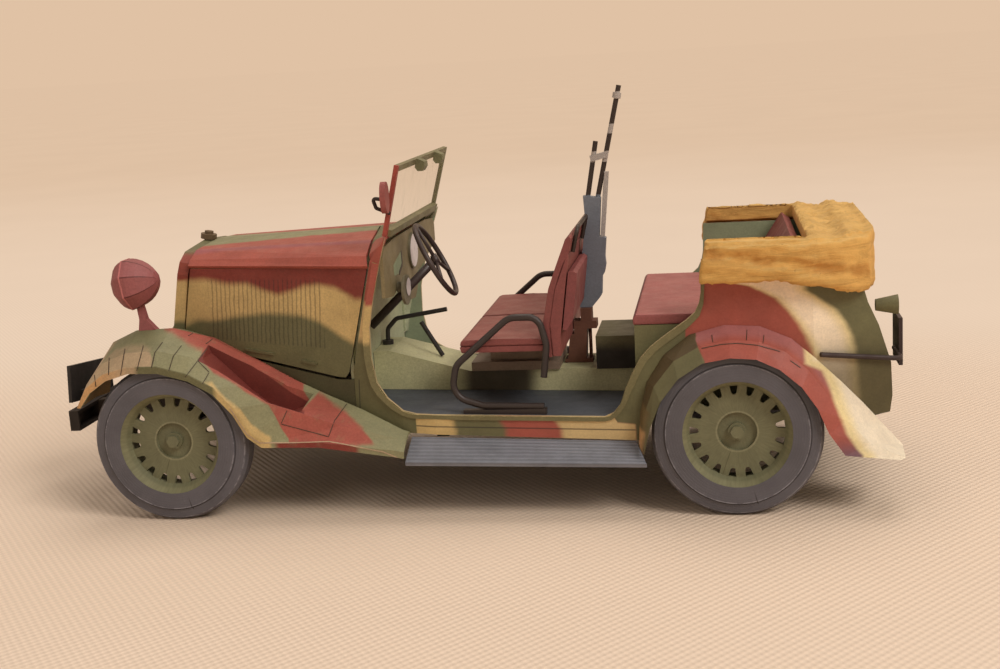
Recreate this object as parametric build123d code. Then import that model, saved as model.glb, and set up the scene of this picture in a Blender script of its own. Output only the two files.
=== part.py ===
from build123d import *
import math
import os

# 1:25 card scale model of a 1930s open field car, doorless, on four wheels that turn freely.
# Millimetres, +Z up from the ground. The front faces -X and the driver's side (left) is -Y.
# Station x values run rearwards from the front axle. ORIGIN_SHIFT moves the stations so that
# the model's box is centred on the origin.

# ---- driving dimensions ----------------------------------------------------------------------
WHEELBASE = 92.0
FRONT_OVERHANG = 23.6          # front axle to the front number plate
REAR_OVERHANG = 26.2           # rear axle to the rear number plate's back
WHEEL_FACE = 27.2              # centre line to a wheel's outer face
OUTER_HALF_WIDTH = WHEEL_FACE + 0.8  # centre line to the fenders' and running boards' outer edge
CARD = 0.6                     # panels and bulkheads
FENDER_CARD = 0.45
WIRE_RADIUS = 0.55
SEAT_GAP = 0.05                # glue line between a piece and what it is seated on
SEAM = 0.5                     # open seam round the hood's side panels

TYRE_RADIUS = 13.2
TYRE_WIDTH = 5.4
TYRE_FACE_RADIUS = 11.1        # outer edge of the flat side ring
TYRE_STEP = 0.25               # thickness of that ring's card
TYRE_SHOULDER = (12.7, 0.55)   # radius and depth of the edge between side and shoulder
TYRE_TREAD_START = 1.4         # depth where the tread starts
RIM_RADIUS = 8.42              # the rim's outer edge, and the tyre's bore
RIM_WALL = 0.75
DISC_RADIUS = 7.35
DISC_RECESS = 2.1              # from the wheel's outer face to the disc
DISC_CARD = 0.6
DISH_RADIUS = 3.05
DISH_DEPTH = 0.7
BOSS_RADIUS = 1.4
NUT_RADIUS = 1.1               # over the corners of the hexagon
NUT_HEIGHT = 0.6
HUB_RADIUS = 2.1
SLOT_COUNT = 17
SLOT_TURN = (4.9, 12.7)        # degrees the front and the rear wheels have rolled
SLOT_INNER_RADIUS = 5.95
SLOT_CHAMFER = 0.2
SLOT_INNER_HALF_WIDTH = 0.38
SLOT_OUTER_HALF_WIDTH = 0.65
SPINDLE_RADIUS = 1.0
SPINDLE_CLEARANCE = 0.05       # radial running clearance in the hub
SPINDLE_END_GAP = 0.3
KNUCKLE_WIDTH = 1.6
KNUCKLE_HALF_HEIGHT = 2.0
KNUCKLE_GAP = 0.4              # knuckle's outer face to the hub's inner end
AXLE_HALF_SECTION = 1.0
DIFFERENTIAL_RADIUS = 2.6

COWL_FRONT = 30.1              # station of the cowl side's front edge
DOOR_REAR = 76.4               # station of the rear seat box's front
TAIL = 116.3                   # rearmost station of the body
TUB_RIM = 40.0                 # height of the rear body's rim, under the folded canvas
TAIL_TOP = 110.2               # station of the tail panel's top edge
FLOOR_FRONT = 16.6             # height of the floor's top at the cowl
FLOOR_REAR = 15.3              # height of the floor's top at the rear seat
FLOOR_CARD = 0.8
ARCH_RADIUS = 14.2             # rear wheel arch in the body side
HOOD_SIDE_TOP = 40.2
RADIATOR_BASE = -4.9           # station of the radiator's lower front edge
RADIATOR_DEPTH = 1.9
RADIATOR_LEAN = 10.0           # degrees back from upright
RADIATOR_TOP = 43.6

RAIL_HALF_SPACING = 10.0
RAIL_WIDTH = 2.0
RAIL_DEPTH = 2.6
RAIL_OVER_AXLE = 15.4          # the rails' underside over the axles
BUMPER_FRONT = -21.0
BUMPER_BACK = -19.3
BUMPER_BOTTOM = 13.6
BUMPER_TOP = 17.1

TUNNEL_HALF_WIDTH = 6.0
TUNNEL_FRONT_TOP = 23.4
TUNNEL_REAR_TOP = 19.5
TUNNEL_SLOPE = (33.0, 47.0)    # stations where the tunnel's top starts and stops falling
SEAT_OUTER = 21.1              # centre line to the front seats' outer side
SEAT_INNER = 0.4               # half the gap between the two front seats
CUSHION_TOP = 28.0
CUSHION_THICKNESS = 2.1
POUCH_OUTER = 20.8             # centre line to the pouches' outer and inner sides
POUCH_INNER = 1.5
HANDLE_OUTER = 18.2            # centre line to the handles' outer and inner legs
HANDLE_INNER = 2.4
HANDLE_TOP = 45.2
HANDLE_RADIUS = 0.35
STORAGE_BOX = (69.0, 75.5)     # stations of the storage box's front and back
STORAGE_BOX_HALF_WIDTH = 7.0
STORAGE_BOX_TOP = 25.2
REAR_BOX_TOP = 29.5
REAR_BOX_END = 95.0            # station of the rear seat box's back
REAR_SEAT_HALF_WIDTH = WHEEL_FACE - TYRE_WIDTH - 1.5
REAR_CUSHION_THICKNESS = 1.65
REAR_CUSHION_OVERHANG = 0.2

WINDSHIELD_BASE = (37.5, 45.4)     # station and height of the frame's lower edge
WINDSHIELD_LEAN = 13.3             # degrees back from upright
WINDSHIELD_HEIGHT = 11.5
WINDSHIELD_HALF_BASE = 19.6
WINDSHIELD_HALF_TOP = 21.1
WINDSHIELD_BAR = 1.3
WINDSHIELD_DEPTH = 1.1
GLASS_CARD = 0.3

CANVAS_OUTER = 25.4
CANVAS_TOP = 43.3
CANVAS_FRONT = 86.8
CANVAS_REAR = 113.4
SOFT_GAP = 0.3

GUN_HALF_WIDTH = 0.9
BARREL_RADIUS = 0.42
GUN_TOP = 66.5                 # height of the muzzle

FRONT_PLATE = (17.0, 6.5)      # width and height
FRONT_PLATE_CENTRE = (-4.5, 19.4)  # y, z: off centre, as glued
FRONT_PLATE_ROLL = 6.8         # degrees out of level, as glued
REAR_PLATE = (8.0, 7.6)
REAR_PLATE_CENTRE = (-11.0, 24.6)

# ---- derived places ----------------------------------------------------------------------------
REAR_AXLE = WHEELBASE
AXLE_HEIGHT = TYRE_RADIUS
ORIGIN_SHIFT = (FRONT_OVERHANG - REAR_OVERHANG - WHEELBASE) / 2
FLOOR_SLOPE = (FLOOR_REAR - FLOOR_FRONT) / (DOOR_REAR - COWL_FRONT)

# Body plan: station x, half-width of the outer face.
BODY_PLAN = [
    (-1.5, 13.2),
    (COWL_FRONT, 19.8),
    (38.5, 22.6),
    (44.0, 23.4),
    (DOOR_REAR, 23.4),
    (84.0, 22.4),
    (104.0, 22.4),
    (TAIL, 17.5),
]
# Edge of the door opening: station x, height z, from the windshield round to the canvas.
DOOR_EDGE = [
    (37.6, 45.2),
    (36.4, 41.5),
    (34.7, 35.4),
    (33.6, 30.4),
    (33.5, 25.5),
    (34.2, 21.4),
    (35.9, 18.9),
    (38.6, 16.9),
    (40.8, 16.4),
    (71.4, 15.5),
    (72.8, 16.1),
    (73.9, 17.4),
    (74.8, 19.9),
    (76.0, 22.5),
    (77.3, 24.8),
    (78.9, 26.5),
    (80.6, 27.8),
    (84.6, 30.5),
    (86.0, 31.7),
    (86.7, 33.2),
    (87.0, 34.8),
    (87.2, TUB_RIM),
]
# Outer face of the tail panel in side view, bottom to top.
TAIL_FACE = [(TAIL, 16.6), (TAIL - 0.2, 22.0), (TAIL - 2.1, 28.1), (TAIL - 3.8, 31.9), (TAIL_TOP, TUB_RIM)]
# Lower edge of the hood side panel: station x, height z.
HOOD_LOWER_EDGE = [(-1.1, 27.6), (14.5, 24.6), (27.2, 22.1)]
HOOD_REAR_EDGE = [(28.6, 22.0), (29.3, 22.9), (31.1, 29.5), (34.0, HOOD_SIDE_TOP)]
HOOD_FRONT_TOP = 1.4           # station of the side panel's upper front corner

# Front fender: station and height of the outer edge, side fold, top fold and inner edge.
FRONT_FENDER = [
    (-14.3, 19.8, -15.3, 19.9, -15.8, 19.9, -15.8, 19.4),
    (-12.4, 22.3, -13.6, 23.4, -14.6, 25.0, -14.8, 24.0),
    (-9.4, 24.3, -10.6, 26.8, -11.6, 28.9, -12.2, 27.6),
    (-5.4, 25.4, -6.2, 28.5, -7.2, 30.8, -7.4, 29.6),
    (-0.4, 25.3, -0.8, 28.7, -1.0, 31.0, -1.2, 29.8),
    (4.6, 23.9, 4.7, 27.6, 5.0, 29.4, 5.0, 28.3),
    (8.6, 21.6, 9.0, 25.2, 10.0, 26.7, 10.0, 25.9),
    (11.6, 18.2, 12.9, 22.5, 14.6, 24.4, 14.6, 23.8),
    (13.7, 14.3, 17.0, 19.6, 19.6, 21.6, 19.6, 21.3),
    (16.0, 12.6, 21.8, 18.0, 25.0, 19.4, 25.0, 19.0),
    (25.4, 12.5, 29.0, 15.6, 31.5, 17.0, 31.5, 16.5),
    (38.0, 10.7, 38.3, 13.3, 38.5, 14.1, 38.5, 13.7),
    (39.4, 10.4, 39.6, 13.1, 39.6, 13.8, 39.6, 13.4),
]
FRONT_SIDE_FOLD = OUTER_HALF_WIDTH - 1.8  # centre line to the side fold
FRONT_TOP_FOLD = 18.6          # centre line to the top fold
FRONT_FLANGE = 1.1             # height of the upright strip along the outer edge

# Rear fender: station and height of the outer edge, of the crown's fold, and of the inner edge.
REAR_FENDER = [
    (77.6, 10.4, 77.0, 11.0, 76.6, 11.2),
    (78.7, 14.7, 77.6, 16.0, 77.0, 16.0),
    (80.4, 18.8, 79.4, 20.9, 78.2, 21.0),
    (83.2, 22.4, 82.6, 24.9, 81.0, 25.2),
    (87.0, 24.8, 86.8, 27.2, 85.0, 28.2),
    (91.2, 25.5, 91.2, 28.0, 90.4, 29.6),
    (95.1, 25.2, 95.6, 27.6, 95.8, 29.3),
    (98.6, 23.5, 99.6, 25.9, 100.6, 27.2),
    (101.8, 20.7, 103.0, 22.9, 104.0, 24.2),
    (104.1, 17.3, 105.7, 19.1, 108.2, 19.8),
    (105.7, 13.4, 108.4, 15.0, 111.6, 16.0),
    (108.1, 9.9, 112.0, 11.3, 114.9, 12.0),
    (116.2, 9.1, 117.2, 8.9, 117.8, 8.6),
]
REAR_CROWN_FOLD = OUTER_HALF_WIDTH - 1.7

# Front and rear faces of the front seat backs in side view, bottom to top.
BACK_FRONT = [(62.35, 24.8), (62.0, 30.3), (63.15, 35.9), (64.6, 39.7), (65.7, 42.4), (66.2, 43.7), (66.9, 44.2)]
BACK_REAR = [(64.7, 25.0), (64.66, 27.8), (66.6, 41.3), (67.2, 43.8)]

# Floor of the spare wheel well in the front fender: station x, height z.
WELL_FLOOR = [(5.9, 28.6), (6.4, 27.0), (8.6, 24.9), (12.7, 20.7), (16.4, 17.6), (19.6, 16.9), (22.4, 17.9), (23.5, 20.2)]
WELL_CEILING = 34.0
WELL_INNER = 20.7              # centre line to the well's inner and outer walls
WELL_OUTER = FRONT_SIDE_FOLD - 0.2


def body_half_width(x):
    """Half-width of the body's outer face at station x."""
    for (x0, y0), (x1, y1) in zip(BODY_PLAN, BODY_PLAN[1:]):
        if x <= x1:
            return y0 + (y1 - y0) * max(x - x0, 0) / (x1 - x0)
    return BODY_PLAN[-1][1]


def floor_top(x):
    return FLOOR_FRONT + FLOOR_SLOPE * (x - COWL_FRONT)


def tunnel_top(x):
    """Height of the tunnel, which falls from the cowl to the seats."""
    share = min(max((x - TUNNEL_SLOPE[0]) / (TUNNEL_SLOPE[1] - TUNNEL_SLOPE[0]), 0), 1)
    return TUNNEL_FRONT_TOP + (TUNNEL_REAR_TOP - TUNNEL_FRONT_TOP) * share


# ---- building blocks ---------------------------------------------------------------------------
def side_prism(points, y_low, y_high):
    """An outline in side view (station x, height z), extruded from y_low to y_high."""
    face = Face(Wire.make_polygon([(x, y_low, z) for x, z in points]))
    return extrude(face, amount=y_high - y_low, dir=(0, 1, 0))


def front_prism(points, x_low, x_high):
    """An outline in front view (y, z), extruded from x_low to x_high."""
    face = Face(Wire.make_polygon([(x_low, y, z) for y, z in points]))
    return extrude(face, amount=x_high - x_low, dir=(1, 0, 0))


def plan_prism(points, z_low, z_high):
    """An outline in plan (x, y), extruded from z_low to z_high."""
    face = Face(Wire.make_polygon([(x, y, z_low) for x, y in points]))
    return extrude(face, amount=z_high - z_low, dir=(0, 0, 1))


def block(x_range, y_range, z_range):
    size = [high - low for low, high in (x_range, y_range, z_range)]
    centre = [(high + low) / 2 for low, high in (x_range, y_range, z_range)]
    return Pos(*centre) * Box(*size)


def cross_cylinder(x, z, radius, y_low, y_high):
    """A cylinder along Y."""
    return Pos(x, (y_low + y_high) / 2, z) * Rot(X=90) * Cylinder(radius, y_high - y_low)


def wire(points, radius, bend_radius):
    """A round wire bent along the points."""
    path = FilletPolyline(*points, radius=bend_radius) if len(points) > 2 else Line(*points)
    return sweep((path ^ 0) * Circle(radius), path=path)


def sheet(outer_rows, inner_rows):
    """A card sheet between two grids of points, closed along its edges, in flat triangles."""
    faces = []

    def quad(a, b, c, d):
        faces.append(Face(Wire.make_polygon([a, b, c])))
        faces.append(Face(Wire.make_polygon([a, c, d])))

    last_row = len(outer_rows) - 1
    last_column = len(outer_rows[0]) - 1
    for i in range(last_row):
        for j in range(last_column):
            quad(outer_rows[i][j], outer_rows[i + 1][j], outer_rows[i + 1][j + 1], outer_rows[i][j + 1])
            quad(inner_rows[i][j], inner_rows[i + 1][j], inner_rows[i + 1][j + 1], inner_rows[i][j + 1])
        for j in (0, last_column):
            quad(outer_rows[i][j], outer_rows[i + 1][j], inner_rows[i + 1][j], inner_rows[i][j])
    for j in range(last_column):
        for i in (0, last_row):
            quad(outer_rows[i][j], outer_rows[i][j + 1], inner_rows[i][j + 1], inner_rows[i][j])
    return Solid(Shell(faces))


def mirrored(piece):
    """The same piece on the other side of the car."""
    return mirror(piece, about=Plane.XZ)


def export(node, *solids):
    """Write a node from one or more solids that do not touch."""
    placed = [Pos(ORIGIN_SHIFT, 0, 0) * solid for solid in solids]
    shape = placed[0] if len(placed) == 1 else Compound(children=placed)
    export_step(shape, f"parts/{node}.step")


def export_pair(node, left_piece):
    """Write a piece of the left side and its mirror image as one node."""
    export(node, left_piece, mirrored(left_piece))


def export_sides(name, left_piece):
    """Write a piece of the left side and its mirror image as two nodes."""
    export(f"{name}_left", left_piece)
    export(f"{name}_right", mirrored(left_piece))


def left_strip(inward, x_low, x_high, z_low, z_high, thickness=CARD):
    """The left body wall between two stations, offset inward from the body's outer face."""
    stations = [x_low] + [x for x, _ in BODY_PLAN if x_low < x < x_high] + [x_high]
    outer = [(x, inward - body_half_width(x)) for x in stations]
    inner = [(x, y + thickness) for x, y in reversed(outer)]
    return plan_prism(outer + inner, z_low, z_high)


def cabin_plan(x_low, x_high, gap):
    """The plan inside the body walls between two stations."""
    stations = [x_low] + [x for x, _ in BODY_PLAN if x_low < x < x_high] + [x_high]
    half = [(x, body_half_width(x) - CARD - gap) for x in stations]
    return [(x, -y) for x, y in half] + [(x, y) for x, y in reversed(half)]


os.makedirs("parts", exist_ok=True)

# ---- wheels ------------------------------------------------------------------------------------
hub_inner_end = TYRE_WIDTH - 0.3
disc_back = DISC_RECESS + DISC_CARD
dish_floor = DISC_RECESS + DISH_DEPTH
bore_end = dish_floor + 2 * DISC_CARD / 3
# Profiles: radius, depth inward from the wheel's outer face.
TYRE_PROFILE = [
    (RIM_RADIUS, 0),
    (TYRE_FACE_RADIUS, 0),
    (TYRE_FACE_RADIUS, TYRE_STEP),
    TYRE_SHOULDER,
    (TYRE_RADIUS, TYRE_TREAD_START),
]
TYRE_PROFILE += [(radius, TYRE_WIDTH - depth) for radius, depth in reversed(TYRE_PROFILE)]
RIM_PROFILE = [
    (0, DISC_RECESS),
    (BOSS_RADIUS, DISC_RECESS),
    (BOSS_RADIUS, dish_floor),
    (DISH_RADIUS, dish_floor),
    (DISH_RADIUS, DISC_RECESS),
    (DISC_RADIUS, DISC_RECESS),
    (RIM_RADIUS, 0),
    (RIM_RADIUS, TYRE_WIDTH),
    (RIM_RADIUS - RIM_WALL, TYRE_WIDTH),
    (RIM_RADIUS - RIM_WALL, disc_back),
    (DISH_RADIUS + DISC_CARD, disc_back),
    (DISH_RADIUS + DISC_CARD, dish_floor + DISC_CARD),
    (HUB_RADIUS, dish_floor + DISC_CARD),
    (HUB_RADIUS, hub_inner_end),
    (SPINDLE_RADIUS + SPINDLE_CLEARANCE, hub_inner_end),
    (SPINDLE_RADIUS + SPINDLE_CLEARANCE, bore_end),
    (0, bore_end),
]


def turned(profile):
    """A wheel piece turned about Y, outer face at y = 0 and facing -Y."""
    face = Face(Wire.make_polygon([(radius, depth, 0) for radius, depth in profile]))
    return revolve(face, Axis.Y, 360)


def slot_cutter():
    half = [
        (SLOT_INNER_RADIUS, SLOT_INNER_HALF_WIDTH - SLOT_CHAMFER),
        (SLOT_INNER_RADIUS + SLOT_CHAMFER, SLOT_INNER_HALF_WIDTH),
        (DISC_RADIUS, SLOT_OUTER_HALF_WIDTH),
    ]
    outline = half + [(x, -z) for x, z in reversed(half)]
    return side_prism(outline, DISC_RECESS - CARD, disc_back + CARD)


tyre = turned(TYRE_PROFILE)
nut_corners = [
    (NUT_RADIUS * math.cos(math.radians(60 * i)), NUT_RADIUS * math.sin(math.radians(60 * i))) for i in range(6)
]
blank_rim = turned(RIM_PROFILE) + side_prism(nut_corners, DISC_RECESS - NUT_HEIGHT, DISC_RECESS + CARD)
for end, station, turn in (("front", 0, SLOT_TURN[0]), ("rear", REAR_AXLE, SLOT_TURN[1])):
    at_axle = Pos(station, -WHEEL_FACE, AXLE_HEIGHT)
    slots = [Rot(Y=360 / SLOT_COUNT * i + turn) * slot_cutter() for i in range(SLOT_COUNT)]
    export_sides(f"tyre_{end}", at_axle * tyre)
    export_sides(f"rim_{end}", at_axle * (blank_rim - slots))

# ---- axles, knuckles and springs ---------------------------------------------------------------
knuckle_outer = WHEEL_FACE - hub_inner_end - KNUCKLE_GAP
spindle_tip = WHEEL_FACE - bore_end - SPINDLE_END_GAP


def knuckle(station):
    """A left knuckle with its spindle."""
    upright = block(
        (station - AXLE_HALF_SECTION - 0.3, station + AXLE_HALF_SECTION + 0.3),
        (-knuckle_outer, KNUCKLE_WIDTH - knuckle_outer),
        (AXLE_HEIGHT - KNUCKLE_HALF_HEIGHT, AXLE_HEIGHT + KNUCKLE_HALF_HEIGHT),
    )
    return upright + cross_cylinder(station, AXLE_HEIGHT, SPINDLE_RADIUS, -spindle_tip, -knuckle_outer)


beam_half_length = knuckle_outer - KNUCKLE_WIDTH
for node, station in (("front_axle", 0), ("rear_axle", REAR_AXLE)):
    beam = block(
        (station - AXLE_HALF_SECTION, station + AXLE_HALF_SECTION),
        (-beam_half_length, beam_half_length),
        (AXLE_HEIGHT - AXLE_HALF_SECTION, AXLE_HEIGHT + AXLE_HALF_SECTION),
    )
    axle = beam + knuckle(station) + mirrored(knuckle(station))
    if station == REAR_AXLE:
        axle += cross_cylinder(station, AXLE_HEIGHT, DIFFERENTIAL_RADIUS, -DIFFERENTIAL_RADIUS, DIFFERENTIAL_RADIUS)
    export(node, axle)

SPRING_HALF_LENGTH = 11.0
SPRING_LEAF = 0.6
spring_seat = AXLE_HEIGHT + AXLE_HALF_SECTION + SEAT_GAP
spring_eye = RAIL_OVER_AXLE - SEAT_GAP
rail_inner = RAIL_HALF_SPACING - RAIL_WIDTH / 2
rail_outer = RAIL_HALF_SPACING + RAIL_WIDTH / 2


def spring(station):
    """A flat leaf spring, eyes under the left rail and middle on the axle."""
    outline = [
        (station - SPRING_HALF_LENGTH, spring_eye),
        (station - SPRING_HALF_LENGTH, spring_eye - SPRING_LEAF),
        (station - 2, spring_seat),
        (station + 2, spring_seat),
        (station + SPRING_HALF_LENGTH, spring_eye - SPRING_LEAF),
        (station + SPRING_HALF_LENGTH, spring_eye),
        (station + SPRING_HALF_LENGTH - 1, spring_eye),
        (station + 2, spring_seat + SPRING_LEAF),
        (station - 2, spring_seat + SPRING_LEAF),
        (station - SPRING_HALF_LENGTH + 1, spring_eye),
    ]
    return side_prism(outline, -rail_outer, -rail_inner)


springs = [spring(0), spring(REAR_AXLE)]
export("leaf_springs", *springs, *[mirrored(piece) for piece in springs])

# ---- frame -------------------------------------------------------------------------------------
def floor_underside(x):
    return floor_top(x) - FLOOR_CARD - SEAT_GAP


RAIL_TOP_EDGE = [
    (BUMPER_BACK, 17.0),
    (-12.0, RAIL_OVER_AXLE + RAIL_DEPTH),
    (12.0, RAIL_OVER_AXLE + RAIL_DEPTH),
    (28.0, floor_underside(COWL_FRONT)),
    (COWL_FRONT, floor_underside(COWL_FRONT)),
    (DOOR_REAR + CARD + SEAT_GAP, floor_underside(DOOR_REAR + CARD)),
    (80.4, RAIL_OVER_AXLE + RAIL_DEPTH),
    (TAIL - 3, RAIL_OVER_AXLE + RAIL_DEPTH),
]
RAIL_BOTTOM_EDGE = [
    (TAIL - 3, RAIL_OVER_AXLE + 0.6),
    (103.0, RAIL_OVER_AXLE),
    (80.6, RAIL_OVER_AXLE),
    (DOOR_REAR + CARD, floor_underside(DOOR_REAR) - RAIL_DEPTH),
    (28.0, floor_underside(COWL_FRONT) - RAIL_DEPTH),
    (13.0, RAIL_OVER_AXLE),
    (-11.0, RAIL_OVER_AXLE),
    (BUMPER_BACK, 14.2),
]
left_rail = side_prism(RAIL_TOP_EDGE + RAIL_BOTTOM_EDGE, -rail_outer, -rail_inner)
cross_members = [
    block((x, x + 2.4), (-rail_inner, rail_inner), (z, z + 1.6))
    for x, z in ((-16.0, 15.6), (20.0, 15.0), (104.0, 16.0))
]
frame = left_rail + mirrored(left_rail)
for member in cross_members:
    frame += member
# Outriggers under the sills carry the running boards.
sill_underside = 12.6
for x in (44.0, 71.0):
    outer_y = body_half_width(x) - CARD - SEAT_GAP
    outrigger = block((x, x + 2.0), (-outer_y, -rail_inner), (sill_underside, floor_underside(x) - 0.4))
    frame += outrigger + mirrored(outrigger)
export("frame_rails", frame)

PROPELLER_SHAFT_RADIUS = 0.8
export(
    "propeller_shaft",
    wire([(COWL_FRONT - 8, 0, 14.0), (REAR_AXLE - DIFFERENTIAL_RADIUS - 0.3, 0, 13.6)], PROPELLER_SHAFT_RADIUS, 1),
)

# ---- front bumper and number plate ---------------------------------------------------------------
BUMPER_HALF_LENGTH = 19.0
beam = block(
    (BUMPER_FRONT, BUMPER_BACK),
    (-BUMPER_HALF_LENGTH, BUMPER_HALF_LENGTH),
    (BUMPER_BOTTOM, BUMPER_TOP),
)
channel = block(
    (BUMPER_FRONT + 0.5, BUMPER_BACK),
    (0.5 - BUMPER_HALF_LENGTH, BUMPER_HALF_LENGTH - 0.5),
    (BUMPER_BOTTOM + 0.6, BUMPER_TOP - 0.6),
)
horn_feet = [
    block((BUMPER_FRONT + 0.5, BUMPER_BACK), y_range, (BUMPER_BOTTOM + 0.6, BUMPER_TOP - 0.6))
    for y_range in ((-rail_outer, -rail_inner), (rail_inner, rail_outer))
]
bumper = beam - channel
for foot in horn_feet:
    bumper += foot
export("front_bumper", bumper)

plate_back = CARD - FRONT_OVERHANG
plate_centre_y, plate_centre_z = FRONT_PLATE_CENTRE
plate = Pos((plate_back - FRONT_OVERHANG) / 2, plate_centre_y, plate_centre_z) * (
    Rot(X=-FRONT_PLATE_ROLL) * Box(CARD, *FRONT_PLATE)
)
for y in (-9.0, -1.0):
    plate += block((plate_back - 0.2, BUMPER_FRONT - SEAT_GAP), (y - 0.7, y + 0.7), (15.4, 18.6))
export("front_number_plate", plate)

# ---- radiator ------------------------------------------------------------------------------------
RADIATOR_HALF_WIDTH = 13.2
RADIATOR_FRAME = 1.5
radiator_foot = RAIL_OVER_AXLE + RAIL_DEPTH + RADIATOR_DEPTH * math.sin(math.radians(RADIATOR_LEAN)) + SEAT_GAP
radiator_height = (RADIATOR_TOP - radiator_foot) / math.cos(math.radians(RADIATOR_LEAN))
radiator_frame = Pos(RADIATOR_BASE, 0, radiator_foot) * Rot(Y=RADIATOR_LEAN)


def radiator_outline(inset):
    """Front view (y, height) of the radiator shell, with faceted shoulders, shrunk by inset."""
    half = [
        (RADIATOR_HALF_WIDTH - inset, inset),
        (RADIATOR_HALF_WIDTH - inset, radiator_height - 4.4 - inset / 2),
        (RADIATOR_HALF_WIDTH - 0.7 - inset, radiator_height - 2.4 - inset / 2),
        (RADIATOR_HALF_WIDTH - 3.0 - inset / 2, radiator_height - 0.9 - inset),
        (0, radiator_height - inset),
    ]
    return half + [(-y, z) for y, z in reversed(half[:-1])]


def radiator_station(z):
    """Station of the radiator's back face at height z."""
    back = RADIATOR_BASE + RADIATOR_DEPTH / math.cos(math.radians(RADIATOR_LEAN))
    return back + (z - radiator_foot) * math.tan(math.radians(RADIATOR_LEAN))


shell = front_prism(radiator_outline(0), 0, RADIATOR_DEPTH)
mouth = front_prism(radiator_outline(RADIATOR_FRAME), -1, RADIATOR_DEPTH + 1)
export("radiator_shell", radiator_frame * (shell - mouth))
grille = front_prism(radiator_outline(RADIATOR_FRAME + SEAT_GAP), 0.7, 0.7 + CARD)
centre_bar = (RADIATOR_FRAME + 0.3, radiator_height - RADIATOR_FRAME - 0.3)
grille += block((0.3, 0.9), (-0.5, 0.5), centre_bar)
export("radiator_grille", radiator_frame * grille)
CAP_RADIUS = 1.4
cap = Pos(0, 0, SEAT_GAP + 0.45) * Cylinder(CAP_RADIUS, 0.9)
cap += Pos(0, 0, SEAT_GAP + 1.15) * Cylinder(CAP_RADIUS * 0.55, 0.5)
cap_place = Pos(RADIATOR_DEPTH / 2 - 0.5, 0, radiator_height)
export("radiator_cap", radiator_frame * cap_place * cap)

# ---- hood ----------------------------------------------------------------------------------------
APRON_BOTTOM = 18.0
hood_outline = [(HOOD_FRONT_TOP, HOOD_SIDE_TOP)] + HOOD_LOWER_EDGE + HOOD_REAR_EDGE
hood_strip = left_strip(0, HOOD_LOWER_EDGE[0][0] - 1, COWL_FRONT + 6, APRON_BOTTOM, HOOD_SIDE_TOP)
export_pair("hood_sides", hood_strip & side_prism(hood_outline, -OUTER_HALF_WIDTH, 0))

apron_rear = COWL_FRONT - SEAT_GAP
apron_rear_top = HOOD_LOWER_EDGE[-1][1] - SEAM
apron_outline = (
    [(radiator_station(APRON_BOTTOM) + SEAT_GAP, APRON_BOTTOM)]
    + [(apron_rear, floor_top(COWL_FRONT) - 3.2), (apron_rear, apron_rear_top)]
    + [(x, z - SEAM) for x, z in reversed(HOOD_LOWER_EDGE)]
    + [(radiator_station(HOOD_LOWER_EDGE[0][1]) + SEAT_GAP, HOOD_LOWER_EDGE[0][1] - SEAM)]
)
apron_strip = left_strip(0, RADIATOR_BASE, COWL_FRONT, APRON_BOTTOM - 7, HOOD_SIDE_TOP)
export_pair("hood_aprons", apron_strip & side_prism(apron_outline, -OUTER_HALF_WIDTH, 0))

LEDGE = 0.5                    # overhang of the hood top over its side panels
ledge_top = HOOD_SIDE_TOP + SEAT_GAP + FENDER_CARD
hood_rear_half = body_half_width(34.2)
# Half sections across the hood and cowl tops: station x, half-width y, height z.
HOOD_TOP_SECTIONS = [
    [
        (radiator_station(z) + 0.1, y, z)
        for y, z in (
            (body_half_width(HOOD_FRONT_TOP) + LEDGE - 0.4, ledge_top),
            (RADIATOR_HALF_WIDTH - 0.3, 41.6),
            (RADIATOR_HALF_WIDTH - 3.0, 42.9),
            (0, RADIATOR_TOP - 0.1),
        )
    ],
    [
        (34.2, hood_rear_half + LEDGE, ledge_top),
        (33.9, hood_rear_half - 0.6, 42.2),
        (33.0, 13.0, 43.7),
        (31.4, 0, 44.5),
    ],
]
cowl_front_half = body_half_width(34.5) - CARD - SEAT_GAP
cowl_rear_half = body_half_width(37.2) - CARD - SEAT_GAP
COWL_TOP_SECTIONS = [
    [(34.6, cowl_front_half, 40.9), (34.3, cowl_front_half - 0.6, 42.3), (33.4, 13.0, 43.8), (31.8, 0, 44.6)],
    [(37.2, cowl_rear_half, 44.4), (37.3, cowl_rear_half - 1.0, 45.1), (37.3, 13.0, 45.2), (37.3, 0, 45.3)],
]


def arched_sheet(half_sections, thickness):
    """A card sheet over full-width sections made of half sections and their mirror images."""
    outer = [half + [(x, -y, z) for x, y, z in reversed(half[:-1])] for half in half_sections]
    inner = [
        [(x, y - math.copysign(thickness, y) * (abs(y) > 1), z - thickness) for x, y, z in row]
        for row in outer
    ]
    return sheet(outer, inner)


export("hood_top", arched_sheet(HOOD_TOP_SECTIONS, FENDER_CARD))
export("cowl_top", arched_sheet(COWL_TOP_SECTIONS, FENDER_CARD))

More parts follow.
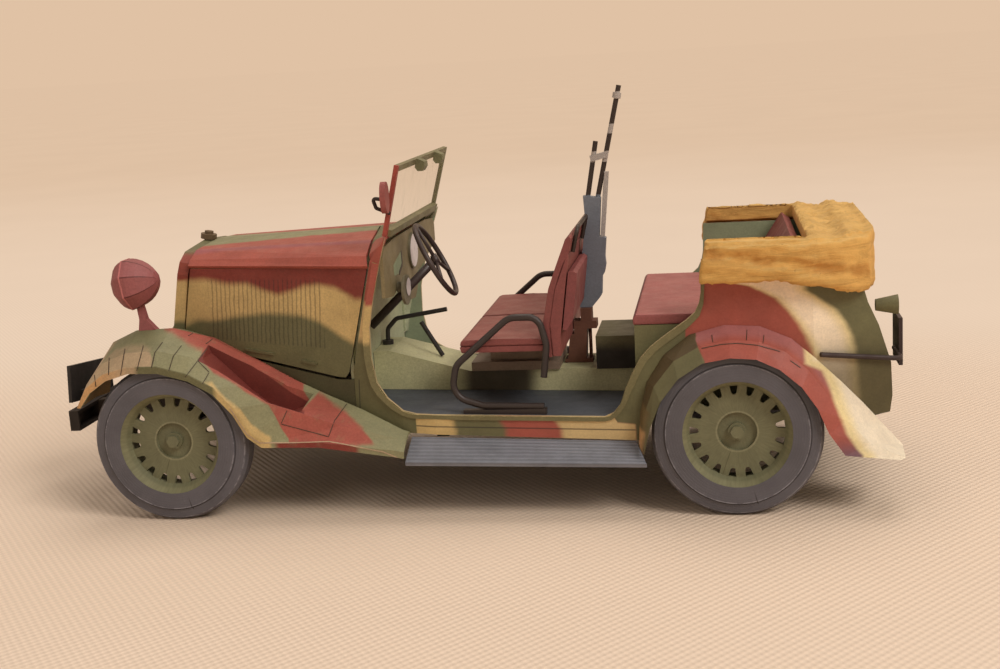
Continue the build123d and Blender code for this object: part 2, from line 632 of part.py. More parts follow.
# ---- body tub ------------------------------------------------------------------------------------
arch_steps = 9
arch_start, arch_end = math.radians(187), math.radians(-4)
arch = [
    (
        REAR_AXLE + ARCH_RADIUS * math.cos(arch_start + (arch_end - arch_start) * i / arch_steps),
        AXLE_HEIGHT + ARCH_RADIUS * math.sin(arch_start + (arch_end - arch_start) * i / arch_steps),
    )
    for i in range(arch_steps + 1)
]
cowl_seam = [(34.6, HOOD_SIDE_TOP + 1.2), (COWL_FRONT, 23.0)]
sill_bottom = [(COWL_FRONT, 13.4), (41.0, 13.2), (76.4, 11.6)]
tail_foot = [(112.9, 13.6), (115.9, 14.0)]
tail_edge = tail_foot + TAIL_FACE
tub_outline = DOOR_EDGE + list(reversed(tail_edge)) + list(reversed(arch)) + list(reversed(sill_bottom))
tub_outline += list(reversed(cowl_seam))
tub_strip = left_strip(0, COWL_FRONT, TAIL, 5.0, 50.0)
export_sides("body_side", tub_strip & side_prism(tub_outline, -OUTER_HALF_WIDTH, 0))

tail_strip = side_prism(
    TAIL_FACE
    + [(x - CARD, z) for x, z in reversed(TAIL_FACE)]
    + [(x - CARD / 2, z + CARD) for x, z in reversed(tail_foot)]
    + tail_foot,
    -OUTER_HALF_WIDTH,
    OUTER_HALF_WIDTH,
)
tail_plan = cabin_plan(100.0, TAIL, SEAT_GAP)
export("tail_panel", tail_strip & plan_prism(tail_plan, 5.0, 50.0))

floor_outline = [
    (COWL_FRONT, floor_top(COWL_FRONT)),
    (DOOR_REAR - SEAT_GAP, floor_top(DOOR_REAR)),
    (DOOR_REAR - SEAT_GAP, floor_top(DOOR_REAR) - FLOOR_CARD),
    (COWL_FRONT, floor_top(COWL_FRONT) - FLOOR_CARD),
]
floor_plan = plan_prism(cabin_plan(COWL_FRONT, DOOR_REAR, SEAT_GAP), 5.0, 50.0)
floor_slab = side_prism(floor_outline, -OUTER_HALF_WIDTH, OUTER_HALF_WIDTH)

REAR_FLOOR_BOTTOM = RAIL_OVER_AXLE + RAIL_DEPTH + SEAT_GAP
rear_floor = plan_prism(
    cabin_plan(81.0, TAIL - 1.2, SEAT_GAP),
    REAR_FLOOR_BOTTOM,
    REAR_FLOOR_BOTTOM + CARD,
)
wheelhouse_inner = WHEEL_FACE - TYRE_WIDTH - 0.7
rear_floor &= block(
    (80.0, TAIL),
    (CARD - wheelhouse_inner + SEAT_GAP, wheelhouse_inner - CARD - SEAT_GAP),
    (REAR_FLOOR_BOTTOM - 1, REAR_FLOOR_BOTTOM + 2),
)
export("floor", floor_slab & floor_plan, rear_floor)

# The wheelhouse closes the arch between the body side and the cabin.
arch_wall = body_half_width(REAR_AXLE) - CARD - SEAT_GAP
wheelhouse_outer_radius = ARCH_RADIUS + CARD
wheelhouse = cross_cylinder(REAR_AXLE, AXLE_HEIGHT, wheelhouse_outer_radius, -arch_wall, CARD - wheelhouse_inner)
wheelhouse -= cross_cylinder(REAR_AXLE, AXLE_HEIGHT, ARCH_RADIUS, -arch_wall - 1, -wheelhouse_inner)
wheelhouse &= plan_prism(
    cabin_plan(REAR_AXLE - 20, REAR_AXLE + 20, SEAT_GAP),
    AXLE_HEIGHT + KNUCKLE_HALF_HEIGHT + 0.3,
    HOOD_SIDE_TOP,
)
export_pair("wheelhouses", wheelhouse)

bulkhead_half = body_half_width(COWL_FRONT - CARD - SEAT_GAP) - CARD - SEAT_GAP
bulkhead = [
    (bulkhead_half, floor_top(COWL_FRONT) - FLOOR_CARD),
    (bulkhead_half, HOOD_SIDE_TOP - 0.4),
    (bulkhead_half - 2.2, 41.2),
    (12.0, 42.6),
    (0, 43.4),
]
bulkhead = bulkhead + [(-y, z) for y, z in reversed(bulkhead[:-1])]
export("bulkhead", front_prism(bulkhead, COWL_FRONT - CARD - SEAT_GAP, COWL_FRONT - SEAT_GAP))

TUNNEL_END = 76.4


def tunnel_outline(inset):
    """Side view of the tunnel's top and ends, shrunk by inset, open along the floor."""
    front, rear = COWL_FRONT + SEAT_GAP + inset, TUNNEL_END - inset
    return [
        (front, floor_top(front) + SEAT_GAP),
        (front, TUNNEL_FRONT_TOP - inset),
        (TUNNEL_SLOPE[0], TUNNEL_FRONT_TOP - inset),
        (TUNNEL_SLOPE[1], TUNNEL_REAR_TOP - inset),
        (rear, TUNNEL_REAR_TOP - inset),
        (rear, floor_top(rear) + SEAT_GAP),
    ]


tunnel = side_prism(tunnel_outline(0), -TUNNEL_HALF_WIDTH, TUNNEL_HALF_WIDTH)
tunnel -= side_prism(tunnel_outline(CARD), CARD - TUNNEL_HALF_WIDTH, TUNNEL_HALF_WIDTH - CARD)
export("tunnel", tunnel)

# ---- running boards --------------------------------------------------------------------------------
BOARD_INNER = 23.55
board_rows = [
    [(40.0, -BOARD_INNER, 12.8), (39.6, -OUTER_HALF_WIDTH, 9.8)],
    [(76.2, -BOARD_INNER, 11.5), (78.0, -OUTER_HALF_WIDTH, 9.0)],
]
board_under = [[(x, y + 0.2, z - CARD) for x, y, z in row] for row in board_rows]
running_board = sheet(board_rows, board_under)
export_pair("running_boards", running_board)

# ---- fenders ---------------------------------------------------------------------------------------
def front_fender_row(station, card):
    """Points across the front fender from its outer edge to its inner edge, sunk by card."""
    outer_x, outer_z, side_x, side_z, top_x, top_z, inner_x, inner_z = station
    inner_y = body_half_width(inner_x) + SEAT_GAP
    rise = FRONT_FLANGE / math.hypot(side_x - outer_x, side_z - outer_z)
    flange_x = outer_x + (side_x - outer_x) * min(rise, 0.6)
    flange_z = outer_z + (side_z - outer_z) * min(rise, 0.6)
    return [
        (outer_x, card - OUTER_HALF_WIDTH, outer_z),
        (flange_x, card - OUTER_HALF_WIDTH, flange_z),
        (side_x, card * 0.7 - max(FRONT_SIDE_FOLD, inner_y + 2.4), side_z - card),
        (top_x, -max(FRONT_TOP_FOLD, inner_y + 1.0), top_z - card),
        (inner_x, -inner_y, inner_z - card),
    ]


def rear_fender_row(station, card):
    """Points across the rear fender from its outer edge to its inner edge, sunk by card."""
    outer_x, outer_z, crown_x, crown_z, inner_x, inner_z = station
    across = crown_x - REAR_AXLE
    up = crown_z - AXLE_HEIGHT
    reach = math.hypot(across, up)
    sink_x, sink_z = card * across / reach, card * up / reach
    inner_y = body_half_width(inner_x - sink_x) + 2 * SEAT_GAP
    return [
        (outer_x, card - OUTER_HALF_WIDTH, outer_z),
        (crown_x - sink_x, card * 0.3 - REAR_CROWN_FOLD, crown_z - sink_z),
        (inner_x - sink_x, -inner_y, inner_z - sink_z),
    ]


front_outer = [front_fender_row(station, 0) for station in FRONT_FENDER]
front_inner = [front_fender_row(station, FENDER_CARD) for station in FRONT_FENDER]
front_deep = [[(x, y, z - 12.0) for x, y, z in row] for row in front_outer]
under_fender = sheet(front_outer, front_deep)
well_profile = WELL_FLOOR + [(WELL_FLOOR[-1][0], WELL_CEILING), (WELL_FLOOR[0][0], WELL_CEILING)]
well_hollow = side_prism(well_profile, -WELL_OUTER, -WELL_INNER)
well_walls = offset(well_hollow, amount=FENDER_CARD, kind=Kind.INTERSECTION)
front_fender = sheet(front_outer, front_inner) + (under_fender & well_walls) - well_hollow
export_sides("front_fender", front_fender)

rear_outer = [rear_fender_row(station, 0) for station in REAR_FENDER]
rear_inner = [rear_fender_row(station, FENDER_CARD) for station in REAR_FENDER]
export_sides("rear_fender", sheet(rear_outer, rear_inner))

# ---- lamps -----------------------------------------------------------------------------------------
LAMP_Y = 18.0
LAMP_RIM_X = -7.6              # station of the rim's middle
LEFT_LAMP_Z = 38.6
RIGHT_LAMP_Z = 36.0            # the right lamp is glued lower
LAMP_TILT = 5.0                # degrees, the front dips
# Profile: distance forward of the rim, radius.
LAMP_PROFILE = [(3.3, 0), (3.0, 2.5), (1.8, 3.7), (0, 4.5), (-1.3, 4.2), (-3.4, 3.0), (-4.7, 1.6), (-5.0, 0)]
# Stalk outline: station and height of its front and rear edges, from the foot up.
STALK_FRONT = [(-6.8, 31.1), (-6.2, 32.1), (-6.4, 35.0)]
STALK_REAR = [(-4.6, 35.2), (-4.65, 32.6), (-3.5, 31.1)]
STALK_HALF_THICKNESS = 0.8
lamp_face = Face(Wire.make_polygon([(-forward, 0, radius) for forward, radius in LAMP_PROFILE]))
lamp_body = Rot(Y=LAMP_TILT) * revolve(lamp_face, Axis.X, 360)


def headlamp(y, z):
    """Headlamp and its stalk at lateral place y, its rim's middle at height z."""
    foot = STALK_FRONT[0][1]
    shorter = (z - foot) / (LEFT_LAMP_Z - foot)
    outline = [(x, foot + (height - foot) * shorter) for x, height in STALK_FRONT + STALK_REAR]
    stalk = side_prism(outline, y - STALK_HALF_THICKNESS, y + STALK_HALF_THICKNESS)
    return stalk + Pos(LAMP_RIM_X, y, z) * lamp_body


export("headlamps", headlamp(-LAMP_Y, LEFT_LAMP_Z), headlamp(LAMP_Y, RIGHT_LAMP_Z))

REAR_LAMP_CENTRE = (115.4, -18.0, 31.2)
REAR_LAMP_RADII = (0.9, 1.55)
REAR_LAMP_LENGTH = 3.4
rear_lamp = Pos(*REAR_LAMP_CENTRE) * Rot(Y=90) * Cone(*REAR_LAMP_RADII, REAR_LAMP_LENGTH)
export("rear_lamp", rear_lamp)
rear_plate_y, rear_plate_z = REAR_PLATE_CENTRE
rear_plate_front = REAR_AXLE + REAR_OVERHANG - CARD
rear_plate = Pos(rear_plate_front + CARD / 2, rear_plate_y, rear_plate_z) * Box(CARD, *REAR_PLATE)
BAR_RADIUS = 0.4
bar_out = BAR_RADIUS + 2 * SEAT_GAP
tail_bar = wire(
    [
        (105.0, -body_half_width(105.0) - bar_out, 24.5),
        (rear_plate_front, -body_half_width(TAIL) - bar_out, 22.6),
        (rear_plate_front, -9.0, 22.4),
    ],
    BAR_RADIUS,
    2.0,
)
export("rear_number_plate", rear_plate + tail_bar)

# ---- windshield --------------------------------------------------------------------------------------
def windshield_outline(inset):
    """Front view of the windshield frame, its lower edge at z = 0, shrunk by inset."""
    return [
        (-WINDSHIELD_HALF_BASE + inset, inset),
        (WINDSHIELD_HALF_BASE - inset, inset),
        (WINDSHIELD_HALF_TOP - inset, WINDSHIELD_HEIGHT - inset),
        (-WINDSHIELD_HALF_TOP + inset, WINDSHIELD_HEIGHT - inset),
    ]


leaning = Pos(WINDSHIELD_BASE[0], 0, WINDSHIELD_BASE[1]) * Rot(Y=WINDSHIELD_LEAN)
half_depth = WINDSHIELD_DEPTH / 2
windshield = front_prism(windshield_outline(0), -half_depth, half_depth)
windshield -= front_prism(windshield_outline(WINDSHIELD_BAR), -half_depth - 1, half_depth + 1)
export("windshield_frame", leaning * windshield)
glass = front_prism(windshield_outline(WINDSHIELD_BAR + SEAT_GAP), -GLASS_CARD / 2, GLASS_CARD / 2)
export("windshield_glass", leaning * glass)
wiper_boxes = [
    leaning * block((half_depth + SEAT_GAP, half_depth + 2.0), (y - 1.4, y + 1.4), (9.2, 11.3))
    for y in (-6.7, 6.7)
]
export("wiper_boxes", *wiper_boxes)

MIRROR_CENTRE = (38.3, -23.2, 51.7)
mirror_disc = Pos(*MIRROR_CENTRE) * Rot(Y=90) * extrude(Ellipse(2.5, 1.5), amount=0.45, both=True)
mirror_wire = wire(
    [(37.6, -22.6, 51.4), (36.2, -22.6, 51.6), (36.6, -22.2, 50.0), (38.3, -20.5, 48.9)],
    0.3,
    0.4,
)
export("mirror", mirror_disc + mirror_wire)

# ---- dashboard and controls ----------------------------------------------------------------------------
DASH_STATION = 36.2
dash_half = body_half_width(DASH_STATION) - CARD - SEAT_GAP
dash_outline = [
    (-dash_half, 42.0),
    (-dash_half + 1.4, 43.3),
    (-13.0, 43.9),
    (13.0, 43.9),
    (dash_half - 1.4, 43.3),
    (dash_half, 42.0),
    (dash_half, 38.5),
    (10.0, 34.6),
    (0.0, 33.6),
    (-10.0, 33.0),
    (-17.0, 31.4),
    (-dash_half, 31.4),
]
dash = front_prism(dash_outline, DASH_STATION, DASH_STATION + CARD)
dash -= block((DASH_STATION - 1, DASH_STATION + 2), (-12.0, -9.0), (37.8, 40.8))
dash_face = DASH_STATION + CARD + SEAT_GAP
facing_rear = Rot(Y=90)
export(
    "instruments",
    Pos(dash_face + 0.2, 4.5, 40.0) * facing_rear * Cylinder(2.1, 0.4),
    Pos(dash_face + 0.4, -3.6, 35.4) * facing_rear * Cylinder(1.7, 0.8),
)

WHEEL_HUB = Vector(42.9, -10.0, 39.6)
COLUMN_ANGLE = 26.6            # degrees above level
COLUMN_RADIUS = 0.7
STEERING_RADIUS = 6.5
column_direction = Vector(math.cos(math.radians(COLUMN_ANGLE)), 0, math.sin(math.radians(COLUMN_ANGLE)))
steering_plane = Plane(origin=WHEEL_HUB, z_dir=column_direction)
steering = steering_plane * Torus(STEERING_RADIUS, 0.45)
for angle in (90, 210, 330):
    spoke = Rot(Z=angle) * block((0, STEERING_RADIUS), (-0.3, 0.3), (-0.2, 0.2))
    steering += steering_plane * spoke
steering += steering_plane * Cylinder(0.9, 0.9)
column_foot = WHEEL_HUB - column_direction * ((WHEEL_HUB.X - COWL_FRONT - 0.45) / column_direction.X)
export("steering_wheel", steering + wire([WHEEL_HUB, column_foot], COLUMN_RADIUS, 1))
export("dashboard", dash - wire([WHEEL_HUB, column_foot], COLUMN_RADIUS + SEAT_GAP, 1))

LEVER_RADIUS = 0.4
BOOT_HEIGHT = 0.7
hand_lever_foot = TUNNEL_FRONT_TOP + BOOT_HEIGHT / 2
hand_lever = wire(
    [(31.4, 0, hand_lever_foot), (31.5, 0, 26.2), (33.2, 0, 28.0), (42.4, 0, 29.4)],
    LEVER_RADIUS,
    [1.2, 1.2],
)
shift_lever = wire([(41.4, -1.2, tunnel_top(40.4)), (37.9, -1.2, 27.5)], LEVER_RADIUS, 1)
boot = Pos(31.4, 0, TUNNEL_FRONT_TOP + SEAT_GAP + BOOT_HEIGHT / 2) * Cylinder(1.0, BOOT_HEIGHT)
export("levers", hand_lever + boot, shift_lever)

# ---- front seats -----------------------------------------------------------------------------------------
CUSHION_FRONT = 48.3
CUSHION_REAR = 61.8
cushion_outline = [
    (CUSHION_FRONT, CUSHION_TOP - CUSHION_THICKNESS),
    (CUSHION_FRONT, CUSHION_TOP),
    (CUSHION_REAR, CUSHION_TOP),
    (CUSHION_REAR + 0.3, CUSHION_TOP - CUSHION_THICKNESS),
]
cushion = side_prism(cushion_outline, -SEAT_OUTER, -SEAT_INNER)
export_pair("front_cushions", cushion)
back_outline = BACK_FRONT + list(reversed(BACK_REAR))
export_pair("front_seat_backs", side_prism(back_outline, -SEAT_OUTER, -SEAT_INNER))
pouch_outline = [
    (65.1, 29.2),
    (65.35, 31.1),
    (66.4, 38.4),
    (67.2, 38.6),
    (67.75, 38.2),
    (67.7, 37.3),
    (66.8, 30.8),
    (65.8, 29.2),
]
export_pair("seat_pouches", side_prism(pouch_outline, -POUCH_OUTER, -POUCH_INNER))

WIRE_Y = SEAT_OUTER + WIRE_RADIUS + SEAT_GAP
frame_wire = wire(
    [
        (61.6, -WIRE_Y, 17.0),
        (51.7, -WIRE_Y, 17.3),
        (46.6, -WIRE_Y, 19.0),
        (47.6, -WIRE_Y, 24.0),
        (56.6, -WIRE_Y, 31.6),
        (61.4, -WIRE_Y, 31.6),
        (62.5, -WIRE_Y, 27.0),
        (61.8, -WIRE_Y, 21.8),
    ],
    WIRE_RADIUS,
    [3.0, 3.0, 3.0, 3.0, 2.2, 3.0],
)

runner_x = (48.5, 62.0)
runner = side_prism(
    [
        (runner_x[0], floor_top(runner_x[0]) + SEAT_GAP),
        (runner_x[1], floor_top(runner_x[1]) + SEAT_GAP),
        (runner_x[1], 16.7),
        (runner_x[0], 16.7),
    ],
    -WIRE_Y - 0.5,
    0.7 - WIRE_Y,
)
export_pair("seat_wires", frame_wire + runner)

BOARD_THICKNESS = 1.5
board_base = TUNNEL_REAR_TOP + SEAT_GAP
board_half = TUNNEL_HALF_WIDTH + 0.4
pedestal = block((47.4, 62.6), (-board_half, board_half), (board_base, board_base + BOARD_THICKNESS))
pedestal += block((50.5, 60.5), (-4.5, 4.5), (board_base, CUSHION_TOP - CUSHION_THICKNESS - SEAT_GAP))
export("seat_pedestal", pedestal)

handle_foot, handle_head = [(x + HANDLE_RADIUS + 2 * SEAT_GAP, z) for x, z in BACK_REAR[-2:]]
lean = (handle_head[0] - handle_foot[0]) / (handle_head[1] - handle_foot[1])
handle_top_x = handle_head[0] + lean * (HANDLE_TOP - handle_head[1])
handle = wire(
    [
        (handle_foot[0], -HANDLE_OUTER, handle_foot[1]),
        (handle_top_x, -HANDLE_OUTER, HANDLE_TOP),
        (handle_top_x, -HANDLE_INNER, HANDLE_TOP),
        (handle_foot[0], -HANDLE_INNER, handle_foot[1]),
    ],
    HANDLE_RADIUS,
    [1.2, 1.2],
)
export_pair("seat_handles", handle)

# ---- stowed twin gun, a solid card shape on its post ---------------------------------------------------
GUN_RECEIVER = [
    (66.0, 29.1),
    (68.1, 29.1),
    (69.5, 30.7),
    (69.9, 31.3),
    (70.1, 34.4),
    (70.5, 35.0),
    (70.8, 36.4),
    (70.7, 37.8),
    (71.0, 41.0),
    (69.9, 41.3),
    (70.4, 47.9),
    (67.4, 48.3),
    (67.6, 44.2),
    (67.1, 40.5),
    (66.3, 34.4),
]
GUN_RAIL = [(70.0, 40.6), (70.7, 40.6), (71.6, 49.1), (71.9, 52.2), (71.2, 52.2), (70.8, 49.1)]
RAIL_HALF = 0.5
receiver = side_prism(GUN_RECEIVER, -GUN_HALF_WIDTH, GUN_HALF_WIDTH)
receiver += side_prism(GUN_RAIL, -RAIL_HALF, RAIL_HALF)
barrels = wire([(69.8, 0, 47.6), (74.2, 0, GUN_TOP)], BARREL_RADIUS, 1)
barrels += wire([(68.1, 0, 47.6), (69.9, 0, 57.4)], BARREL_RADIUS, 1)
barrels += wire([(73.7, 0, GUN_TOP - 2.1), (73.9, 0, GUN_TOP - 1.2)], BARREL_RADIUS + 0.3, 1)
barrels += side_prism([(69.0, 54.0), (71.8, 54.6), (71.6, 55.6), (68.8, 55.0)], -0.6, 0.6)
export("gun", receiver + barrels)
post_base = TUNNEL_REAR_TOP + SEAT_GAP
POST_HALF_WIDTH = 1.6
# Side view of the post's blocks and plates; the step clears the seat backs' lower edge.
POST_OUTLINE = [
    (63.1, post_base),
    (63.1, 20.2),
    (63.6, 20.2),
    (64.1, 24.6),
    (64.85, 24.6),
    (64.85, 26.8),
    (66.1, 26.8),
    (66.1, GUN_RECEIVER[0][1] - SEAT_GAP),
    (68.0, GUN_RECEIVER[0][1] - SEAT_GAP),
    (68.0, 26.8),
    (68.8, 26.8),
    (68.8, STORAGE_BOX_TOP + 0.3),
    (67.1, STORAGE_BOX_TOP + 0.3),
    (66.8, 20.2),
    (67.9, 20.2),
    (67.9, post_base),
]
post = side_prism(POST_OUTLINE, -POST_HALF_WIDTH, POST_HALF_WIDTH)
post += wire([(67.5, 0, post_base), (67.5, 0, STORAGE_BOX_TOP + 0.5)], 0.3, 1)
export("gun_post", post)

# ---- rear seat, box and canvas ---------------------------------------------------------------------------
storage_box = block(
    STORAGE_BOX, (-STORAGE_BOX_HALF_WIDTH, STORAGE_BOX_HALF_WIDTH), (TUNNEL_REAR_TOP + SEAT_GAP, STORAGE_BOX_TOP)
)
export("storage_box", storage_box)
rear_box_bottom = REAR_FLOOR_BOTTOM + CARD + SEAT_GAP
rear_box_half = REAR_SEAT_HALF_WIDTH
rear_box = block((DOOR_REAR, REAR_BOX_END), (-rear_box_half, rear_box_half), (rear_box_bottom, REAR_BOX_TOP))
rear_box -= block(
    (DOOR_REAR + CARD, REAR_BOX_END - CARD),
    (CARD - rear_box_half, rear_box_half - CARD),
    (rear_box_bottom - CARD, REAR_BOX_TOP - CARD),
)
rear_box += block(
    (DOOR_REAR, DOOR_REAR + CARD),
    (-rear_box_half, rear_box_half),
    (floor_underside(DOOR_REAR) + SEAT_GAP, rear_box_bottom + CARD),
)
export("rear_seat_box", rear_box)
cushion_bottom = REAR_BOX_TOP + SEAT_GAP
cushion_top = cushion_bottom + REAR_CUSHION_THICKNESS
cushion_front = DOOR_REAR - REAR_CUSHION_OVERHANG
CUSHION_EDGE = 0.45            # chamfer along the cushion's front
cushion_outline = [
    (cushion_front, cushion_bottom),
    (cushion_front, cushion_top - CUSHION_EDGE),
    (cushion_front + CUSHION_EDGE, cushion_top),
    (93.0, cushion_top),
    (93.0, cushion_bottom),
]
rear_cushion = side_prism(cushion_outline, -REAR_SEAT_HALF_WIDTH, REAR_SEAT_HALF_WIDTH)
export("rear_cushion", rear_cushion)
rear_back = side_prism(
    [(93.3, cushion_bottom), (101.3, 41.7), (102.7, 40.6), (95.2, cushion_bottom)],
    -REAR_SEAT_HALF_WIDTH,
    REAR_SEAT_HALF_WIDTH,
)
export("rear_seat_back", rear_back)

# Plan of the folded canvas's outer face, left half: station x, distance from the centre line.
CANVAS_PLAN = [
    (CANVAS_FRONT, CANVAS_OUTER - 0.3),
    (89.0, CANVAS_OUTER),
    (102.0, CANVAS_OUTER),
    (108.5, CANVAS_OUTER - 1.6),
    (112.2, CANVAS_OUTER - 4.6),
    (CANVAS_REAR, CANVAS_OUTER - 8.6),
]
CANVAS_INNER = 21.4            # centre line to the arms' inner face
CANVAS_ARM_END = 103.2         # station where the arms meet the bundle across the tail
CANVAS_BEVEL = 0.9
# Lower edge of the canvas outside the body: station x, height z.
CANVAS_HEM = [(CANVAS_FRONT - 1, 36.4), (97.0, 36.9), (106.0, 35.2), (111.0, 33.9), (CANVAS_REAR + 1, 34.7)]


def canvas_plan(inset):
    half = [(x, -(y - inset)) for x, y in CANVAS_PLAN]
    return half + [(x, -y) for x, y in reversed(half)]


canvas_bottom = TUB_RIM + SOFT_GAP
bundle = plan_prism(canvas_plan(0), canvas_bottom, CANVAS_TOP - CANVAS_BEVEL)
bundle += plan_prism(canvas_plan(CANVAS_BEVEL), CANVAS_TOP - CANVAS_BEVEL, CANVAS_TOP)
hem = side_prism(
    CANVAS_HEM + [(CANVAS_REAR + 1, canvas_bottom + 0.2), (CANVAS_FRONT - 1, canvas_bottom + 0.2)],
    -OUTER_HALF_WIDTH,
    OUTER_HALF_WIDTH,
)
skirt = plan_prism(canvas_plan(0), TUB_RIM - 10, TUB_RIM + 5) & hem
inside = [(x, y - SOFT_GAP) for x, y in cabin_plan(CANVAS_FRONT - 1, TAIL, -CARD) if y < 0]
inside += [(x, -y) for x, y in reversed(inside)]
tail_face = side_prism(
    [
        (CANVAS_FRONT - 2, TUB_RIM - 15),
        (CANVAS_FRONT - 2, canvas_bottom),
        (TAIL_TOP + SOFT_GAP, canvas_bottom),
        (TAIL + SOFT_GAP, 18.3),
    ],
    -OUTER_HALF_WIDTH,
    OUTER_HALF_WIDTH,
)
canvas = bundle + (skirt - (plan_prism(inside, TUB_RIM - 15, canvas_bottom) & tail_face))
canvas -= block((CANVAS_FRONT - 5, CANVAS_ARM_END), (-CANVAS_INNER, CANVAS_INNER), (TUB_RIM - 5, CANVAS_TOP + 5))
export("folded_canvas", canvas)
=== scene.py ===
import math

import bmesh
import bpy
from mathutils import Matrix, Vector, noise
from mathutils.bvhtree import BVHTree


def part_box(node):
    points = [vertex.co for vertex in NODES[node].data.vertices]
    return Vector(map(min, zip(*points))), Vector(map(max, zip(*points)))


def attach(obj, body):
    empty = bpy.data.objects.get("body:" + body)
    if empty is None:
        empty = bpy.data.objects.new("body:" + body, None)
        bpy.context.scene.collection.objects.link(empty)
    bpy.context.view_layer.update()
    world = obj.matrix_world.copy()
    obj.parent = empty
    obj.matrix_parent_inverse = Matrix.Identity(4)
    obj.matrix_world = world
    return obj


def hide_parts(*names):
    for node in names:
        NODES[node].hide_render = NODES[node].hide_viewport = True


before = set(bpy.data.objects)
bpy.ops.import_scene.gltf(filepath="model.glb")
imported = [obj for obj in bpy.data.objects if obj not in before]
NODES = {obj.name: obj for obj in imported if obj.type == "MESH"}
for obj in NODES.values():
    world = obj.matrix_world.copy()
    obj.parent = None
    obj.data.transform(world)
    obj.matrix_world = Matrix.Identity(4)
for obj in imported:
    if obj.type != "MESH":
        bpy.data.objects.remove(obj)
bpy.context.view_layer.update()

MM = 0.001
SHIFT = -47.3        # row x of the front axle in mm; a station is a distance behind that axle
REAR_AXLE = 92.0
AXLE_HEIGHT = 13.2
SIDES = {-1: "left", 1: "right"}


def row(x, y, z):
    """Station coordinates in mm to row metres."""
    return Vector(((x + SHIFT) * MM, y * MM, z * MM))


def station(p):
    """Row metres to station coordinates in mm."""
    return Vector((p.x / MM - SHIFT, p.y / MM, p.z / MM))


def new_object(name, data):
    thing = bpy.data.objects.new(name, data)
    bpy.context.scene.collection.objects.link(thing)
    return thing


# ---- camera ----
FOCAL_PX, WIDTH, HEIGHT, SENSOR = 1396.1, 1000, 669, 36.0
EYE = row(90.2, -237.27, 72.5)
PAN, PITCH, ROLL = (math.radians(a) for a in (9.24, 11.28, -3.45))
FORWARD = Vector((-math.sin(PAN) * math.cos(PITCH), math.cos(PAN) * math.cos(PITCH), -math.sin(PITCH)))
LEVEL_RIGHT = Vector((math.cos(PAN), math.sin(PAN), 0))
LEVEL_UP = LEVEL_RIGHT.cross(FORWARD)
RIGHT = math.cos(ROLL) * LEVEL_RIGHT + math.sin(ROLL) * LEVEL_UP
UP = math.cos(ROLL) * LEVEL_UP - math.sin(ROLL) * LEVEL_RIGHT

camera_data = bpy.data.cameras.new("camera")
camera_data.sensor_width = SENSOR
camera_data.lens = FOCAL_PX * SENSOR / WIDTH
camera_data.clip_start, camera_data.clip_end = 0.01, 30.0
camera = new_object("camera", camera_data)
rotation = Matrix((RIGHT, UP, -FORWARD)).transposed()
camera.matrix_world = Matrix.Translation(EYE) @ rotation.to_4x4()
bpy.context.scene.camera = camera

TREES = {}
FAR = 2.0                  # m, beyond everything that a line of sight can meet
NEAR_SIDE_Y = -0.0262      # m, the plane where a line of sight that misses its node is stopped


def tree(node):
    """The search tree of a CAD node's mesh, in row metres."""
    if node not in TREES:
        mesh = NODES[node].data
        TREES[node] = BVHTree.FromPolygons([v.co for v in mesh.vertices], [p.vertices for p in mesh.polygons])
    return TREES[node]


def line_of_sight(u, v):
    """Direction from the camera through a point of the picture."""
    return FORWARD + RIGHT * ((u - WIDTH / 2) / FOCAL_PX) - UP * ((v - HEIGHT / 2) / FOCAL_PX)


def seen(node, u, v):
    """Place and normal where the line of sight meets a node, or comes nearest to it."""
    sight = line_of_sight(u, v).normalized()
    place, normal, _, _ = tree(node).ray_cast(EYE, sight, FAR)
    if place is None:
        place, normal, _, _ = tree(node).find_nearest(EYE + sight * ((NEAR_SIDE_Y - EYE.y) / sight.y))
    if normal.dot(sight) > 0:
        normal = -normal
    return place, normal


def on_plane(u, v, x):
    """(lateral place, height) in mm where the line of sight through a picture point crosses a station."""
    sight = line_of_sight(u, v)
    place = station(EYE + sight * ((row(x, 0, 0).x - EYE.x) / sight.x))
    return place.y, place.z


def stations(node, points):
    """Picture points on a node as (x, z) in station mm."""
    found = [station(seen(node, u, v)[0]) for u, v in points]
    return [(p.x, p.z) for p in found]


def heights(node, points):
    """Picture points on a node as (z, x) in station mm, lowest first."""
    return sorted((z, x) for x, z in stations(node, points))


# ---- node material helper ----
def put(tree, socket, value):
    """Link a socket or a node's first output to an input, or set the input to a value."""
    if isinstance(value, bpy.types.Node):
        value = value.outputs[0]
    if isinstance(value, bpy.types.NodeSocket):
        tree.links.new(value, socket)
    elif isinstance(value, tuple) and len(value) == 3 and socket.type == "RGBA":
        socket.default_value = (*value, 1.0)
    else:
        socket.default_value = value


def new_node(tree, kind, inputs=(), **settings):
    """A shader node; inputs are in order, or a dictionary by number or name."""
    node = tree.nodes.new("ShaderNode" + kind)
    for key, value in settings.items():
        setattr(node, key, value)
    for key, value in inputs.items() if isinstance(inputs, dict) else enumerate(inputs):
        put(tree, node.inputs[key], value)
    return node


